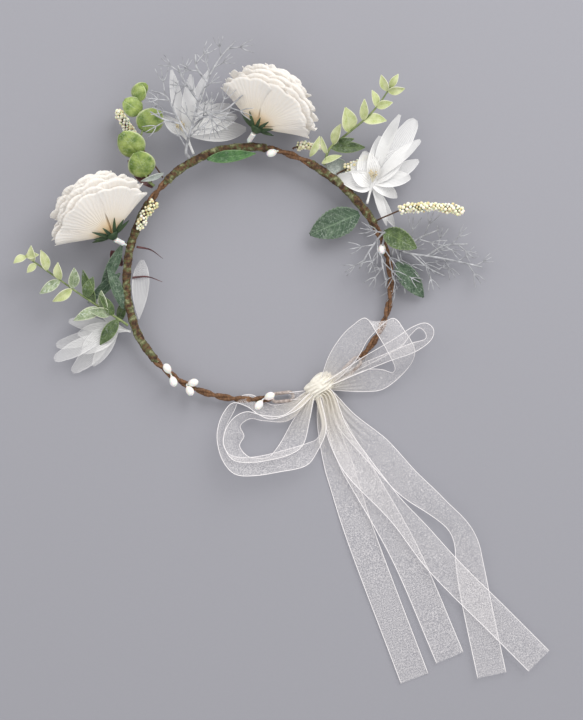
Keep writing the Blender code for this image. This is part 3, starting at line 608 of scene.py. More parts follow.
# How see-through each flower is, where 0 is the closest weave.
SHEERNESS = {"lily_top": 0.35, "lily_right": 0.1, "lily_left": 0.75}
stem_green = Finish("stem_plastic", 0.55)
stem_green.set("Base Color", stem_green.ramp(stem_green.noise(300, 4), (0.3, (0.10, 0.15, 0.05)),
                                             (0.7, (0.30, 0.36, 0.15))))
stem_green.bump(stem_green.noise(900, 3), 0.3, 0.0003)
for name, (angle, turn, pitch, reach, body, petals) in LILIES.items():
    way = heading(turn, pitch)
    start, heart = foot(angle, way), ring(angle) + way * reach
    deep = float(np.linalg.norm(heart - start))
    parts = [lathe(start, way, [(0, 0.9), (deep - 6, 1.0), (deep, 3.0), (deep + 4, 4.2)], 16, 0.0)]
    for number, (to, tilt, length, width, arch, blunt, roll, skew) in enumerate(petals):
        parts.append(blade(heart, heading(to, tilt), length, width, arch, 0.62, cup=0.25, skew=skew,
                           blunt=blunt, roll=roll, ripple=0.5, phase=1.7 * number, rows=26, columns=11,
                           tint=SHEERNESS[name]))
    build(f"sheer_{name}", parts, sheer.made, body, [f"{name}_petals"])

# The left flower has one petal that reaches to the inner side of the vine.
INNER_TURN = -160
inner_start = ring(INNER_TURN) - outward(INNER_TURN) * (TAPE_OUTER + 1.5) + UP * 1.5
inner_petal = blade(inner_start, heading(87, -2), 41, 12, 2, 0.6, cup=0.2, skew=1.35, blunt=0.5, ripple=1.6,
                    rows=30, tint=1.0)
build("sheer_lily_left_inner", [inner_petal], sheer.made, "crown", ["lily_left_inner_petal"])

# %% [markdown]
# ## Stamens
# Two of the sheer flowers show a tuft of fine stamens. Each is a thin filament with a small anther on
# its end, fanned out from the throat.

# %% Stamens
stamen = Finish("stamen", 0.6)
stamen.set("Base Color", stamen.ramp(stamen.along, (0.4, (0.82, 0.78, 0.64)), (0.85, (0.56, 0.44, 0.24))))
stamen.bump(stamen.noise(1200, 2), 0.4, 0.0003)
STAMENS = 12
for name, body in (("lily_top", "crown"), ("lily_right", "lily_right_head")):
    angle, turn, pitch, reach = LILIES[name][:4]
    root = ring(angle) + heading(turn, pitch) * (reach + 0.5) + UP * 3.4
    random = np.random.default_rng(5)
    parts = []
    for _ in range(STAMENS):
        way = heading(turn + random.uniform(-34, 34), random.uniform(8, 46))
        length = random.uniform(6, 9)
        path = curve([root, root + way * length * 0.6 + UP * 0.6, root + way * length], 8)
        parts.append(tube(path, 0.28, 6))
        parts.append(lathe(path[-1] - way * 0.5, way, [(0, 0.2), (0.6, 0.65), (1.6, 0.65), (2.3, 0.2)], 8))
    build(f"{name}_tuft", parts, stamen.made, body, [f"{name}_stamens"])

# %% [markdown]
# ## Leaf finishes
# The greenery is printed and flocked plastic. Its look comes from four things: a pale rim, a lighter
# midrib with side veins, a mottled body colour, and on some leaves a white frosting. One recipe with
# different amounts of each makes every leaf, which keeps the bunch a family.

# %% One recipe for every leaf
def leaf_finish(name, dark, light, rim, vein, frost, roughness=0.5, rim_width=0.08):
    """Mottled body between two greens, rim and veins laid over it, then frosting by a sharp noise."""
    made = Finish(name, roughness)
    body = made.ramp(made.noise(190, 5), (0.32, dark), (0.70, light))
    middle = made.sum("ABSOLUTE", made.sum("SUBTRACT", made.across, 0.5))
    slant = made.sum("SUBTRACT", made.along, made.sum("MULTIPLY", middle, 0.45))
    side_veins = made.sum("MULTIPLY", made.wave(slant, 9, 9.0), 0.5)
    midrib = made.node("ShaderNodeMapRange", {"Value": middle, "From Min": 0.045, "From Max": 0.0}).outputs[0]
    body = made.mix(made.sum("MULTIPLY", made.sum("MAXIMUM", midrib, side_veins), vein), body, rim)
    body = made.mix(made.sum("MULTIPLY", made.edge(rim_width), 0.85), body, rim)
    speckle = made.ramp(made.noise(900, 4), (0.46, (0, 0, 0)), (0.64, (1, 1, 1)))
    speckle = made.sum("MULTIPLY", speckle, made.sum("MULTIPLY_ADD", made.noise(210, 2), 2.6, -0.9))
    made.set("Base Color", made.mix(made.sum("MULTIPLY", speckle, frost), body, (0.66, 0.72, 0.66)))
    made.bump(made.sum("SUBTRACT", made.noise(600, 3), made.sum("MAXIMUM", midrib, side_veins)), 0.45, 0.0005)
    return made.made


# Each finish: dark green, light green, rim, then how much vein and frost, roughness, width of the rim.
ROUND = leaf_finish("round_leaf", (0.10, 0.18, 0.022), (0.38, 0.48, 0.13), (0.66, 0.72, 0.44),
                    0.10, 0.25, 0.36, 0.07)
PALE = leaf_finish("pale_leaf", (0.40, 0.47, 0.17), (0.66, 0.70, 0.40), (0.84, 0.85, 0.66), 0.35, 0.3, 0.45)
WHITE_GREEN = leaf_finish("frosted_pale_leaf", (0.13, 0.19, 0.09), (0.36, 0.44, 0.27), (0.70, 0.74, 0.55),
                          0.4, 0.95, 0.6)
FROSTED = leaf_finish("frosted_leaf", (0.018, 0.050, 0.026), (0.085, 0.135, 0.085), (0.17, 0.25, 0.16),
                      0.75, 0.30, 0.75, 0.04)
GREEN = leaf_finish("deep_green_leaf", (0.020, 0.050, 0.012), (0.095, 0.155, 0.04), (0.24, 0.32, 0.13),
                    0.35, 0.25, 0.42, 0.05)
BRIGHT = leaf_finish("bright_green_leaf", (0.020, 0.085, 0.020), (0.09, 0.22, 0.06), (0.20, 0.33, 0.14),
                     0.35, 0.15, 0.42, 0.05)
GREY_GREEN = leaf_finish("grey_green_leaf", (0.20, 0.24, 0.22), (0.38, 0.42, 0.40), (0.60, 0.64, 0.61),
                         0.3, 0.8, 0.6)
MAROON = leaf_finish("maroon_leaf", (0.035, 0.008, 0.012), (0.13, 0.035, 0.04), (0.20, 0.09, 0.07),
                     0.2, 0.08, 0.35, 0.05)

# %% [markdown]
# ## Eucalyptus sprays
# Three picks are moulded stems with leaves on short stalks. Their stems run exactly where the solid
# model's do, so the same stations are repeated here. Each pick is one object for its stem and one for the
# leaves of each finish, and they all ride together.

# %% Stems with leaves
# Each pick: angle on the ring, body, slot, roundness of its leaves, stem from the vine's middle, leaves.
# Each leaf: distance along the stem, splay, pitch, length, width, then its finish.
P, W, G, R = PALE, WHITE_GREEN, GREEN, ROUND
PICKS = {
    "eucalyptus_left": (-155, "eucalyptus_left_spray", "pale_leaf", 0.85, [
        (-12, 8.5, 3), (-36, 24, 7), (-60, 41, 9), (-76, 52, 10)], [
        (8, 87, -6, 22, 9, G), (18, -45, 14, 15, 7, W), (20, 53, 8, 22, 9, W), (35, -78, 16, 16, 8, G),
        (46, 69, 4, 16, 7, P), (46, -62, 18, 15, 8, W), (56, 70, 10, 17, 7, W), (56, -49, 22, 13, 7, P),
        (67, -39, 12, 15, 7, P), (76, 80, 4, 9, 5, P), (78, -49, 24, 12, 6, P), (84, 62, 10, 10, 6, P),
        (90, 4, 14, 10, 5, P), (27, -38, 8, 25, 8, G), (12, -24, 18, 18, 7, G), (14, 22, 30, 17, 7, W),
    ]),
    "eucalyptus_right": (58, "eucalyptus_right_spray", "pale_leaf", 0.8, [
        (5, 15, 4), (16, 24, 8), (30, 35, 14), (39, 45, 17), (47, 57, 19)], [
        (13, -48, -6, 24, 8, G), (16, 30, 26, 16, 7, P), (30, 62, 24, 18, 12, P), (43, 48, 30, 16, 6, P),
        (43, -42, 12, 16, 9, P), (56, 55, 16, 12, 6, P), (56, -38, 22, 12, 6, P), (69, 55, 14, 12, 6, P),
        (69, -50, 12, 12, 6, P), (72, 0, 20, 11, 5, P), (8, 40, 20, 13, 4, P), (20, -30, 22, 12, 5, G),
    ]),
    "round_eucalyptus": (139, "crown", "round_leaf", 0.5, [
        (-8, 9, 2), (-13, 29, 5), (-10, 45, 7), (-15, 66, 8)], [
        (9, 0, 28, 19, 19, R), (24, 31, 14, 20, 20, R), (41, -27, 20, 19, 19, R),
        (54, 42, 12, 14, 14, R), (62, -25, 16, 12, 12, R), (70, 37, 10, 10, 10, R),
    ]),
}


def station(path, distance):
    """The point at this distance along a path and the path's heading there, by interpolation of length."""
    gone = distances(path)
    point = np.array([np.interp(distance, gone, path[:, k]) for k in range(3)])
    after = int(np.searchsorted(gone, distance))
    step = path[min(after, len(path) - 1)] - path[max(after - 1, 0)]
    return point, math.degrees(math.atan2(step[1], step[0]))


for name, (angle, body, slot, roundness, places, leaves) in PICKS.items():
    hub = ring(angle)
    points = np.array(places, float)
    points = np.vstack([foot(angle, unit(points[0])) - hub, points]) + hub
    path = curve(points, 40)
    groups = {}
    for number, (distance, splay, pitch, length, width, finish) in enumerate(leaves):
        at, way = station(path, distance)
        groups.setdefault(finish.name, (finish, []))[1].append(
            blade(at, heading(way + splay, pitch), length, width, 1.2, roundness,
                  cup=0.35 if roundness > 0.6 else -0.22, skew=0.85, roll=28 * math.sin(2.1 * number),
                  rows=18, columns=11))
    stem = tube(path, np.linspace(0.95, 0.5, 40), 10)
    build(f"stem_{name}", [stem], stem_green.made, body, [name])
    for finish_name, (finish, parts) in groups.items():
        build(f"leaves_{name}_{finish_name.split('.')[0]}", parts, finish, body, (), 0.35)

# %% [markdown]
# ## Single leaves and thorns
# These leaves are bound straight to the vine. Each takes its place from the solid leaf that it stands
# for: the longest direction of that solid is its midrib, and the end nearer the vine is its base. The
# broad leaves have saw-toothed edges, and the thorns are bare tapering stalks.

# %% Leaves in place of their solids
# Each leaf: finish, slot, roundness, teeth.
SINGLE = {
    "serrated_leaf_inner": (FROSTED, "frosted_leaf", 0.7, 13),
    "serrated_leaf_outer": (GREEN, "green_leaf", 0.7, 11),
    "serrated_leaf_low": (FROSTED, "frosted_leaf", 0.75, 11),
    "green_leaf_top": (BRIGHT, "green_leaf", 0.8, 0),
    "frosted_leaf_right": (GREY_GREEN, "frosted_leaf", 0.6, 0),
    "long_leaf_upper": (FROSTED, "frosted_leaf", 0.85, 0), "long_leaf_lower": (GREEN, "green_leaf", 0.85, 0),
    "maroon_leaf_upper": (MAROON, "maroon_leaf", 0.75, 0),
    "maroon_leaf_lower": (MAROON, "maroon_leaf", 0.75, 0),
    "thorn_upper": (MAROON, "maroon_leaf", 0.6, 0), "thorn_lower": (MAROON, "maroon_leaf", 0.6, 0),
}
THORN_SWEEP = 2.6
vine_line = ring(np.linspace(0, 360, 721))
for name, (finish, slot, roundness, teeth) in SINGLE.items():
    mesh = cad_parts[name].data
    points = np.empty(len(mesh.vertices) * 3)
    mesh.vertices.foreach_get("co", points)
    points = points.reshape(-1, 3) / MM
    middle = points.mean(axis=0)
    axes = np.linalg.svd(points - middle, full_matrices=False)[2]
    far = (points - middle) @ axes[0]
    ends = [middle + axes[0] * far.min(), middle + axes[0] * far.max()]
    near = [np.linalg.norm(vine_line - end, axis=1).min() for end in ends]
    start, tip = ends if near[0] < near[1] else ends[::-1]
    width = np.ptp((points - middle) @ axes[1])
    length = float(np.linalg.norm(tip - start))
    if name.startswith("thorn"):
        sweep = unit(np.cross(UP, tip - start)) * -THORN_SWEEP
        arc = curve([start, (start + tip) / 2 - sweep * 0.5, tip + sweep * 0.6], 16)
        build(f"shaped_{name}", [tube(arc, np.linspace(0.85, 0.12, 16), 8)], finish, "crown", [name])
        continue
    leaf = blade(start, tip - start, length * 1.03, width * 1.06, 1.5, roundness, cup=0.28, skew=0.85,
                 teeth=teeth, rows=56 if teeth else 20, columns=13)
    build(f"shaped_{name}", [leaf], finish, "crown", [name], 0.35)

# %% [markdown]
# ## Leaves tucked behind
# A few narrow leaves are bound in with the stems and have no solid of their own. They belong to the
# same picks as their neighbours, so they ride on the crown without standing for anything.

# %% Tucked leaves
# Each leaf: angle on the ring, outward and upward steps, heading, pitch, length, width, finish.
TUCKED = [
    (167, 6, 1, 243, -8, 34, 8, FROSTED), (-166, 4, 1, 110, 4, 33, 8, FROSTED),
    (132, 5, 2, 200, 10, 17, 4, GREY_GREEN), (-170, 4, -1, 118, -4, 24, 7, GREEN),
    (60, 4, 1, 20, 12, 15, 5, PALE), (66, 4, 2, 64, 18, 16, 5, PALE),
]
for number, (angle, out, lift, turn, pitch, length, width, finish) in enumerate(TUCKED):
    leaf = blade(ring(angle) + outward(angle) * out + UP * lift, heading(turn, pitch), length, width, 1.5,
                 0.85, cup=0.3, skew=0.85, roll=20 * (-1) ** number, rows=24, columns=11)
    build(f"tucked_leaf_{number}", [leaf], finish, "crown", (), 0.35)

# %% [markdown]
# ## Bead spikes
# The filler spikes are stems crowded with tiny cream beads, like heather in bud. Each bead is a small
# ball of a few dozen faces. They are set at even steps along the stem and at the golden angle round it,
# with a little seeded jitter, because that packs them without rows.

# %% Beads on stems
bead = Finish("cream_bead", 0.5, Subsurface_Weight=0.2, Subsurface_Scale=0.002)
bead.set("Base Color", bead.ramp(bead.tint, (0.04, (0.075, 0.035, 0.015)), (0.08, (0.70, 0.64, 0.34)),
                                 (0.4, (0.88, 0.84, 0.60)), (0.9, (0.95, 0.93, 0.82))))
bead.bump(bead.noise(1400, 2), 0.3, 0.0003)
# Each spike: angle on the ring, path from the vine's middle, bare length, body of beads, radius.
SPIKES = {
    "bead_spike_right": (25, [(10, 4, 10), (24, 9, 12), (44, 10, 9), (62, 7, 7)], 20, 3.7),
    "bead_spike_top": (74, [(2, 5, 0), (10, 6.5, -2), (21, 5, -2)], 4, 3.2),
    "bead_spike_upper_right": (53, [(7, 4, -2), (20, 10, -3), (30, 15, -3)], 7, 3.2),
    "bead_spike_left": (134, [(-8, 12, -6), (-24, 34, -8), (-34, 50, -8)], 34, 3.6),
    "bead_spike_inner": (143, [(2, -4, 4), (-5, -12, 4.5), (-9, -22, 4)], 2, 3.4),
}
GOLDEN = math.pi * (3 - math.sqrt(5))
BEADS_PER_MM = 3.0


def balls(centres, radii, tints):
    """Spheres: centre + radius (sin a cos b, sin a sin b, cos a) over a 6 by 8 grid, one part for each."""
    a = np.linspace(0.18, math.pi - 0.18, 6)[:, None]
    b = np.linspace(0, 2 * math.pi, 8, endpoint=False)[None, :]
    unit_ball = np.stack([np.sin(a) * np.cos(b), np.sin(a) * np.sin(b), np.cos(a) + 0 * b], -1)
    return [skin(centre + radius * unit_ball, True, tint)
            for centre, radius, tint in zip(centres, radii, tints)]


for name, (angle, places, bare, thick) in SPIKES.items():
    hub = ring(angle)
    points = np.array(places, float)
    path = curve(np.vstack([foot(angle, unit(points[0])) - hub, points]) + hub, 60)
    gone = distances(path)
    random = np.random.default_rng(len(name))
    count = int((gone[-1] - bare) * BEADS_PER_MM)
    at = np.linspace(bare, gone[-1], count) + random.uniform(-0.3, 0.3, count)
    centre = np.stack([np.interp(at, gone, path[:, k]) for k in range(3)], -1)
    side, top = across(path)
    pick = np.clip(np.searchsorted(gone, at), 0, 59)
    turn = GOLDEN * np.arange(count)
    off = thick * random.uniform(0.45, 1.0, count) * np.clip((gone[-1] - at) / 6 + 0.35, 0, 1)
    centre = centre + off[:, None] * (np.cos(turn)[:, None] * side[pick] + np.sin(turn)[:, None] * top[pick])
    parts = balls(centre, random.uniform(0.8, 1.45, count), random.uniform(0.1, 1, count))
    parts += [tube(np.array([path[k], point]), 0.3, 4, 0.0) for k, point in zip(pick[::2], centre[::2])]
    parts.append(tube(path, 0.55, 8, 0.0))
    build(f"beaded_{name}", parts, bead.made, "crown", [name])

# %% [markdown]
# ## Forked twigs
# Grey plastic asparagus fern: a few arching stems that throw out thin needles, each forked near its
# tip. The stems repeat the solid model's, and the needles are drawn at seeded places along them.

# %% Stems and needles
fern = Finish("grey_fern", 0.55)
fern.set("Base Color", fern.ramp(fern.noise(240, 4), (0.3, (0.20, 0.205, 0.225)), (0.7, (0.56, 0.57, 0.60))))
fern.bump(fern.noise(900, 3), 0.3, 0.0003)
# Each spray: angle on the ring, seed, then its stems from the vine's middle.
SPRAYS = {
    "twig_spray_top": (120, 3, [
        [(-3, 8, 8), (2, 26, 14), (9, 48, 18), (20, 68, 21), (31, 80, 22)],
        [(-1, 15, 11), (-10, 32, 17), (-16, 43, 19), (-26, 47, 20)],
        [(1, 22, 13), (10, 30, 15), (24, 34, 18), (36, 44, 20)],
        [(6, 40, 17), (-4, 54, 20), (-8, 64, 21)],
        [(12, 53, 19), (5, 62, 22), (4, 71, 24)],
        [(-6, 25, 14.4), (-18, 28, 16), (-27, 33, 17)],
    ]),
    "twig_spray_right": (17, 8, [
        [(9, -5.5, -3.5), (18, -10, -3), (38, -13, -2), (58, -17, -2), (70, -20, -2)],
        [(14.4, -8.6, -3.2), (26, 0, -1), (40, 6, 0)],
        [(31.6, -12.2, -2.5), (44, -5, -1), (60, -4, 0)],
        [(21.3, -10.8, -2.7), (32, -20, -3), (44, -26, -3)],
        [(9, -5.5, -3.5), (6, -18, -2), (3, -34, -3)],
        [(9, -5.5, -3.5), (14, -20, -2), (17, -38, -3)],
        [(9, -5.5, -3.5), (3, 4, 4), (-7, -7, 4.5), (-15, -21, 3)],
        [(3, 4, 4), (0, -12, 5), (3, -29, 3)],
    ]),
}
# Where a whorl of needles spreads from one place, from the vine's middle.
WHORLS = {"twig_spray_top": [(14.5, 29.0, 16.0)], "twig_spray_right": []}
NEEDLE_GAP = {"twig_spray_top": 9.0, "twig_spray_right": 7.5}
WHORL, STEM_POINTS, FIRST_NEEDLE, NEEDLE_RADIUS = 8, 24, 4, 0.5


def needle(root, way, length, bend):
    """A thin arc from the root, bent sideways by so many millimetres, with two tips forked off it."""
    side = unit(np.cross(way, UP))
    middle, end = root + way * length * 0.5 + side * bend * 0.4, root + way * length + side * bend
    path = curve([root, middle, end], 7)
    parts = [tube(path, np.linspace(NEEDLE_RADIUS, NEEDLE_RADIUS * 0.55, 7), 5)]
    for sign in (-1, 1):
        fork = unit(way + sign * 0.75 * side + UP * 0.1)
        start, end = path[3], path[3] + (fork + way * 0.4) * length * 0.42
        tip = curve([start, start + fork * length * 0.22, end], 5)
        parts.append(tube(tip, np.linspace(NEEDLE_RADIUS * 0.8, NEEDLE_RADIUS * 0.5, 5), 5))
    return parts


for name, (angle, seed, stems) in SPRAYS.items():
    hub, random, parts = ring(angle), np.random.default_rng(seed), []
    for number, places in enumerate(stems):
        places = np.array(places, float)
        if number == 0:
            places = np.vstack([foot(angle, unit(places[0]), 0.55) - hub, places])
        path = curve(places + hub, STEM_POINTS)
        parts.append(tube(path, np.linspace(1.15 if number == 0 else 0.85, 0.55, STEM_POINTS), 7))
        needles = length_of(path) / NEEDLE_GAP[name]
        for k in range(int(needles)):
            at = FIRST_NEEDLE + int((STEM_POINTS - 1 - FIRST_NEEDLE) * (k + 1) / (needles + 1))
            along = unit(path[min(at + 1, STEM_POINTS - 1)] - path[at - 1])
            side = unit(np.cross(along, UP)) * (1 if k % 2 else -1)
            way = unit(along * 0.8 + side * random.uniform(0.6, 1.0) + UP * random.uniform(-0.15, 0.35))
            parts += needle(path[at], way, random.uniform(12, 20), random.uniform(-2, 2))
    for place in WHORLS[name]:
        for k in range(WHORL):
            spread = heading(360 / WHORL * k + random.uniform(-14, 14), random.uniform(-5, 25))
            parts += needle(hub + np.array(place), spread, random.uniform(11, 18), random.uniform(-2, 2))
    build(f"fern_{name}", parts, fern.made, "crown", [name])

# %% [markdown]
# ## White berries
# Small glossy pips on short stalks are bound along the vine. Each is a lathed egg. A few have a
# partner, as they are sold in pairs on one wire.

# %% Berries
berry = Finish("white_berry", 0.25, Subsurface_Weight=0.25, Subsurface_Scale=0.002)
berry.set("Base Color", berry.ramp(berry.along, (0.0, (0.62, 0.50, 0.42)), (0.25, (0.88, 0.86, 0.82)),
                                   (1.0, (0.93, 0.93, 0.91))))
berry.bump(berry.noise(500, 2), 0.1, 0.0003)
# Each berry: angle on the ring, then the headings along which it and its partners lie on the vine.
PIPS = {
    "pip_right": (15, [262]), "pip_low_outer": (-131, [120, 290]), "pip_low_inner": (-123, [15, 300]),
    "pip_bottom": (-87, [235, 25]), "pip_top": (80, [200]),
}
# The egg's outline, as distance along it and radius.
EGG = [(0, 0.6), (0.8, 1.3), (2.2, 2.3), (4.4, 2.75), (6.6, 2.1), (7.8, 0.5)]
for name, (angle, headings) in PIPS.items():
    parts = []
    for turn in headings:
        seat = ring(angle)
        parts.append(lathe(seat + heading(turn) * 1.0 + UP * 3.0, heading(turn, 12), EGG, 18))
        stalk = np.array([seat + UP * 0.8, seat + heading(turn) * 1.2 + UP * 3.2])
        parts.append(tube(stalk, 0.6, 8, 0.0))
    build(f"berry_{name}", parts, berry.made, "crown", [name])

# %% [markdown]
# ## Organza
# The ribbon is 20 mm sheer organza with a bright thread along each edge. It is a plain weave so open
# that the table shows through, and it turns creamy where layers lie over one another. Alpha carries
# the weave, the edges are nearly solid, and the edge thread is a real thin tube.

# %% Organza and its edge threads
organza = Finish("organza", 0.55, Sheen_Weight=0.3)
warp = organza.wave(organza.across, 46)
weft = organza.wave(organza.along, 300)
cloudy = organza.noise(120, 4)
weave = organza.mix(cloudy, (0.94, 0.915, 0.935), (0.98, 0.955, 0.97))
creamy = organza.ramp(organza.tint, (0.0, (0, 0, 0)), (0.7, (1, 1, 1)), (0.9, (1, 1, 1)), (1.0, (0, 0, 0)))
organza.set("Base Color", organza.mix(organza.sum("MULTIPLY", creamy, 0.75), weave, (0.92, 0.86, 0.72)))
cover = organza.sum("MULTIPLY_ADD", organza.sum("MULTIPLY", warp, weft), 0.12, 0.13)
cover = organza.sum("ADD", cover, organza.sum("MULTIPLY", cloudy, 0.05))
sparkle = organza.sum("MULTIPLY_ADD", organza.noise(1300, 2), 1.3, -0.60)
cover = organza.sum("MAXIMUM", organza.sum("ADD", cover, sparkle), 0.08)
cover = organza.sum("MAXIMUM", cover, organza.sum("MULTIPLY", organza.tint, 0.96))
cover = organza.sum("MAXIMUM", cover, organza.sum("MULTIPLY", organza.edge(0.035), 0.75))
organza.set("Alpha", cover)
organza.bump(organza.sum("ADD", warp, weft), 0.2, 0.0002)
RIBBON_WIDE, EDGE_THREAD, PLEAT_COUNT = 20.0, 0.24, 4


def ribbon(one_edge, other_edge, rows, columns, bow, pleats, count, cream=0.0):
    """Straight lines between two edge curves, pushed out by bow sin(pi u) and by pleats that fade along."""
    a, b = curve(one_edge, rows), curve(other_edge, rows)
    u = np.linspace(0, 1, columns)[None, :, None]
    grid = a[:, None] * (1 - u) + b[:, None] * u
    normal = unit(np.cross(np.gradient((a + b) / 2, axis=0), b - a))[:, None]
    fade = np.broadcast_to(np.asarray(pleats, float), (rows,))[:, None, None]
    wave = fade * np.sin(2 * math.pi * count * u) * np.sin(math.pi * u) ** 0.3
    grid = grid + normal * (bow * np.sin(math.pi * u) + wave)
    threads = [tube(edge, EDGE_THREAD, 6, 1.0) for edge in (grid[:, 0], grid[:, -1])]
    return [skin(grid, False, cream), *threads], grid


def cloth(name, parts, grid, body):
    """Builds a length of ribbon and says how it was cut: 20 mm wide, and as long as its middle thread."""
    made = build(f"organza_{name}", parts, organza.made, body, [name])
    length = length_of(grid[:, grid.shape[1] // 2])
    area = sum(face.area for face in made.data.polygons)
    print("   length mm", round(length, 1), "share", round(area / (RIBBON_WIDE * MM * length * MM), 2))


# %% [markdown]
# ## The bow's loops
# Each loop leaves the knot gathered, opens to the full width, turns over and comes back. Two edge curves
# say it all, because cloth this stiff is ruled between its edges. All places are from the knot.

# %% Four loops
# Each loop: body, one edge, then the other edge, as (x, y, z) from the knot on the table.
LOOPS = {
    "bow_right_wide": ("bow_right_loops", [
        (1, 5, 12), (6, 20, 24), (14, 33, 30), (22, 41, 34), (31, 46, 36), (38.5, 36, 34), (46.5, 23, 27),
        (51.5, 13, 19), (50, 9, 12.5), (43, 11, 9), (33, 11, 7), (20, 6, 8), (9, 1.5, 8)], [
        (9, 2, 9), (18.5, 10, 13), (27, 21, 19), (34, 33, 24), (49, 46, 30), (58, 37, 30), (65, 24, 22),
        (61, 12, 7), (46, -1.5, 4), (32, -4.2, 4), (8, -3, 6)]),
    "bow_right_narrow": ("bow_right_loops", [
        (8, 5, 14), (28, 18.5, 18), (50, 31.5, 20), (63, 40, 21), (72.5, 43, 21), (78, 38.5, 20),
        (76, 31, 18), (65, 23, 17), (48, 17, 16), (28, 9, 14), (9, 1, 11)], [
        (9, 3, 6), (33, 14, 2.5), (55, 26, 2), (63, 35, 2), (69, 40, 2), (73.5, 36.5, 2), (73, 32, 2),
        (63, 29, 2), (46, 22, 3), (27, 14, 3), (9, 4, 5)]),
    "bow_left_outer": ("bow_left_loops", [
        (-5, -7, 11), (-16, -17, 13), (-32, -23, 13), (-42, -20, 13), (-50, -14.5, 13), (-60, -12, 13),
        (-67, -20, 14), (-70.5, -31, 15), (-70, -42, 16), (-66, -53, 16), (-58, -61, 17), (-45, -62, 16),
        (-28, -59.5, 14), (-10, -55.5, 12), (-2, -46, 11), (4.5, -30, 10), (1, -10, 10)], [
        (-9, -4, 7), (-20, -11, 4), (-31, -13.5, 3.5), (-39, -11, 3.5), (-47, -6.5, 3.5), (-55, -8, 3.5),
        (-59, -17, 3), (-65, -29, 2.5), (-67, -40, 2), (-63, -47.5, 2), (-55, -50, 2), (-44, -49.5, 2),
        (-30, -46.5, 2), (-8, -40, 2.5), (-1, -36, 3.5), (2, -26, 5), (-2, -9, 6)]),
    "bow_left_inner": ("bow_left_loops", [
        (-8, -6, 11), (-24, -20, 13), (-39, -20.5, 13), (-50, -18, 13), (-59, -22, 14), (-65, -31, 14),
        (-66, -41, 14), (-60, -51, 14), (-48, -53, 14), (-33, -51, 13), (-19, -47, 9), (-11, -40, 9),
        (-7, -24, 10), (-4, -9, 10)], [
        (-6, -8, 6), (-21, -24, 4), (-38, -24.5, 3), (-48, -23, 3), (-55, -28, 3), (-52.5, -35, 3),
        (-55.5, -42, 3), (-50, -49, 3), (-43, -50.5, 3), (-36, -50, 3), (-31.5, -46, 3), (-26, -38, 3),
        (-17, -22, 4), (-6, -8, 6)]),
}
# Both ends are tucked into the knot, and they are gathered over this share of the loop.
TUCK, GATHERED = np.array([0.4, 0.4, 0.95]), 0.20
LOOP_ROWS = 120
for name, (body, *edges) in LOOPS.items():
    ends = np.minimum(np.linspace(0, 1, LOOP_ROWS), np.linspace(1, 0, LOOP_ROWS))
    near = np.clip(1 - ends / GATHERED, 0, 1)
    edges = [np.array(edge, float) for edge in edges]
    one, other = (np.vstack([edge[0] * TUCK, edge, edge[-1] * TUCK]) + knot for edge in edges)
    parts, grid = ribbon(one, other, LOOP_ROWS, 25, 1.2, 1.7 * near, PLEAT_COUNT, 0.92 * near)
    cloth(name, parts, grid, body)

# %% [markdown]
# ## The four tails
# The ribbon's ends lie flat on the table, one over another, pleated where they leave the knot. Each is
# a full-width strip along its middle line, narrowed and folded near the knot, with a faint ripple so
# that its edges lift from the table here and there.

# %% Four tails
# Each tail: its middle line, from the knot.
TAILS = [
    ("ribbon_tail_left", [(3, -9.5), (6, -30), (17, -68), (31, -111), (66, -203.5)]),
    ("ribbon_tail_second", [(5, -9), (11, -26), (24, -54), (59, -116), (90.5, -189)]),
    ("ribbon_tail_curved", [(7, -8.5), (20, -26), (41, -46), (60.5, -67), (79.5, -82.5), (94.5, -96),
                            (101.5, -109), (104.5, -127), (109.5, -154), (119.5, -201)]),
    ("ribbon_tail_right", [(6.5, -9), (12, -31), (25, -54), (45.5, -78), (62.5, -97), (81, -119.5),
                           (98.5, -138), (119.5, -158.5), (152, -191)]),
]
# Where a tail stands on one edge it looks narrower: millimetres along it, then how much.
PINCHES = {"ribbon_tail_curved": (126, 3.4), "ribbon_tail_right": (98, 2.2)}
GATHER_LENGTH, PINCH_LENGTH, LAYER, RIPPLE = 55, 26, 1.1, 0.35
TAIL_ROWS = 160
for level, (name, line) in enumerate(TAILS):
    line = [(line[0][0] * 0.4, line[0][1] * 0.45), *line]
    path = curve(np.array([(x, y, 0) for x, y in line]) + knot, TAIL_ROWS)
    side = np.cross(unit(np.gradient(path, axis=0)), UP)
    gone = distances(path)
    near = np.clip(1 - gone / GATHER_LENGTH, 0, 1)
    place, narrower = PINCHES.get(name, (0, 0))
    pinch = narrower * np.exp(-(((gone - place) / PINCH_LENGTH) ** 2))
    half_width = RIBBON_WIDE / 2 - 6.2 * near**1.2 - pinch
    ripple = RIPPLE * np.sin(gone * 0.07 + level) + RIPPLE
    height = 0.5 + LAYER * level + (3.5 + 1.2 * level) * near**2 + ripple
    one_height = height + 2.2 * pinch + RIPPLE * np.sin(gone * 0.05 + 2 * level)
    other_height = height + RIPPLE * np.cos(gone * 0.045 + level)
    one = path - side * half_width[:, None] + UP * one_height[:, None]
    other = path + side * half_width[:, None] + UP * other_height[:, None]
    parts, grid = ribbon(one, other, TAIL_ROWS, 25, 0.0, 2.2 * near**1.3, PLEAT_COUNT, 0.80 * near**1.6)
    cloth(name, parts, grid, "ribbon_tails")

# %% [markdown]
# ## The knot and the ties
# The knot is the same ribbon pulled tight, a cushion of folds that is nearly opaque. It is a closed
# wrap whose radius is folded by several waves at once. The ties are short gathered lengths that run
# from the knot through the two wire eyelets and back.

# %% Knot and ties
knot_cloth = Finish("knotted_organza", 0.6, Sheen_Weight=0.3)
folds = knot_cloth.noise(420, 4)
knot_cloth.set("Base Color", knot_cloth.mix(folds, (0.88, 0.83, 0.71), (0.96, 0.94, 0.88)))
knot_cloth.set("Alpha", knot_cloth.sum("MULTIPLY_ADD", folds, 0.3, 0.72))
knot_cloth.bump(folds, 0.3, 0.0006)
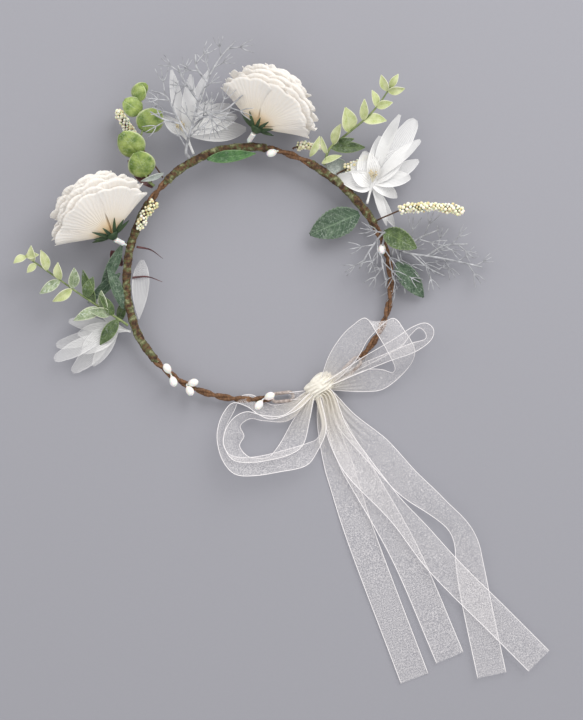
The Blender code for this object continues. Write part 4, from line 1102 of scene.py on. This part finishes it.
# The bow lies along this way, and the knot is longer that way and pleated along it.
KNOT_RADIUS, KNOT_TALL, BOW_WAY, LONGER = 8.6, 14.0, 0.69, 0.24
rise = np.linspace(0.03, 0.97, 44)[:, None]
turn = np.linspace(0, 2 * math.pi, 120, endpoint=False)[None, :]
radius = KNOT_RADIUS * np.sin(math.pi * rise) ** 0.6 * (1 + LONGER * np.cos(2 * (turn - BOW_WAY)))
x, y, z = radius * np.cos(turn), radius * np.sin(turn), KNOT_TALL * rise + 0 * turn
with_bow, over_bow = 0.77 * x + 0.64 * y, 0.77 * y - 0.64 * x
crumple = 0.05 * np.sin(0.5 * with_bow + 0.7 * over_bow + 0.3 * z)
crumple = crumple + 0.03 * np.sin(0.8 * over_bow - 0.5 * z + 2)
pleat = 0.17 * np.abs(np.sin(1.25 * over_bow + 0.9 * np.sin(0.28 * with_bow) + 0.35 * z)) - 0.08
swell = 1 + crumple + pleat
grid = np.stack([x * swell, y * swell, z + 6 * pleat], -1)
folded = build("ribbon_knot_folds", [skin(grid + knot, True)], knot_cloth.made, "crown",
               ["ribbon_knot"])
print("   knot area m2", round(sum(face.area for face in folded.data.polygons), 6))

# Each tie runs over its eyelet's end bar, round it and back: its bend's radius there, then half its width.
TIE_BEND, TIE_HALF, TIE_PLEAT, TIE_PLEATS = 1.6, 2.6, 0.95, 5
for name, angle, sense in (("ribbon_tie_left", VINE_END, 1), ("ribbon_tie_right", VINE_START, -1)):
    way = ring_tangent(angle) * sense
    side = unit(np.cross(way, UP))
    bar = ring(angle) + way * (0.3 + EYELET_LENGTH - EYELET_WIRE)
    reach = float(np.linalg.norm((knot - bar)[:2])) - 7.5
    over = [bar + way * reach * t + UP * TIE_BEND for t in (1.0, 0.5, 0.1)]
    round_bar = [bar - way * TIE_BEND * math.sin(math.radians(a)) + UP * TIE_BEND * math.cos(math.radians(a))
                 for a in (50, 90, 130)]
    under = [bar + way * reach * t - UP * TIE_BEND for t in (0.1, 0.5, 1.0)]
    path = np.array(over + round_bar + under)
    parts, grid = ribbon(path - side * TIE_HALF, path + side * TIE_HALF, 60, 61, 0.0, TIE_PLEAT, TIE_PLEATS)
    cloth(name, parts, grid, "crown")
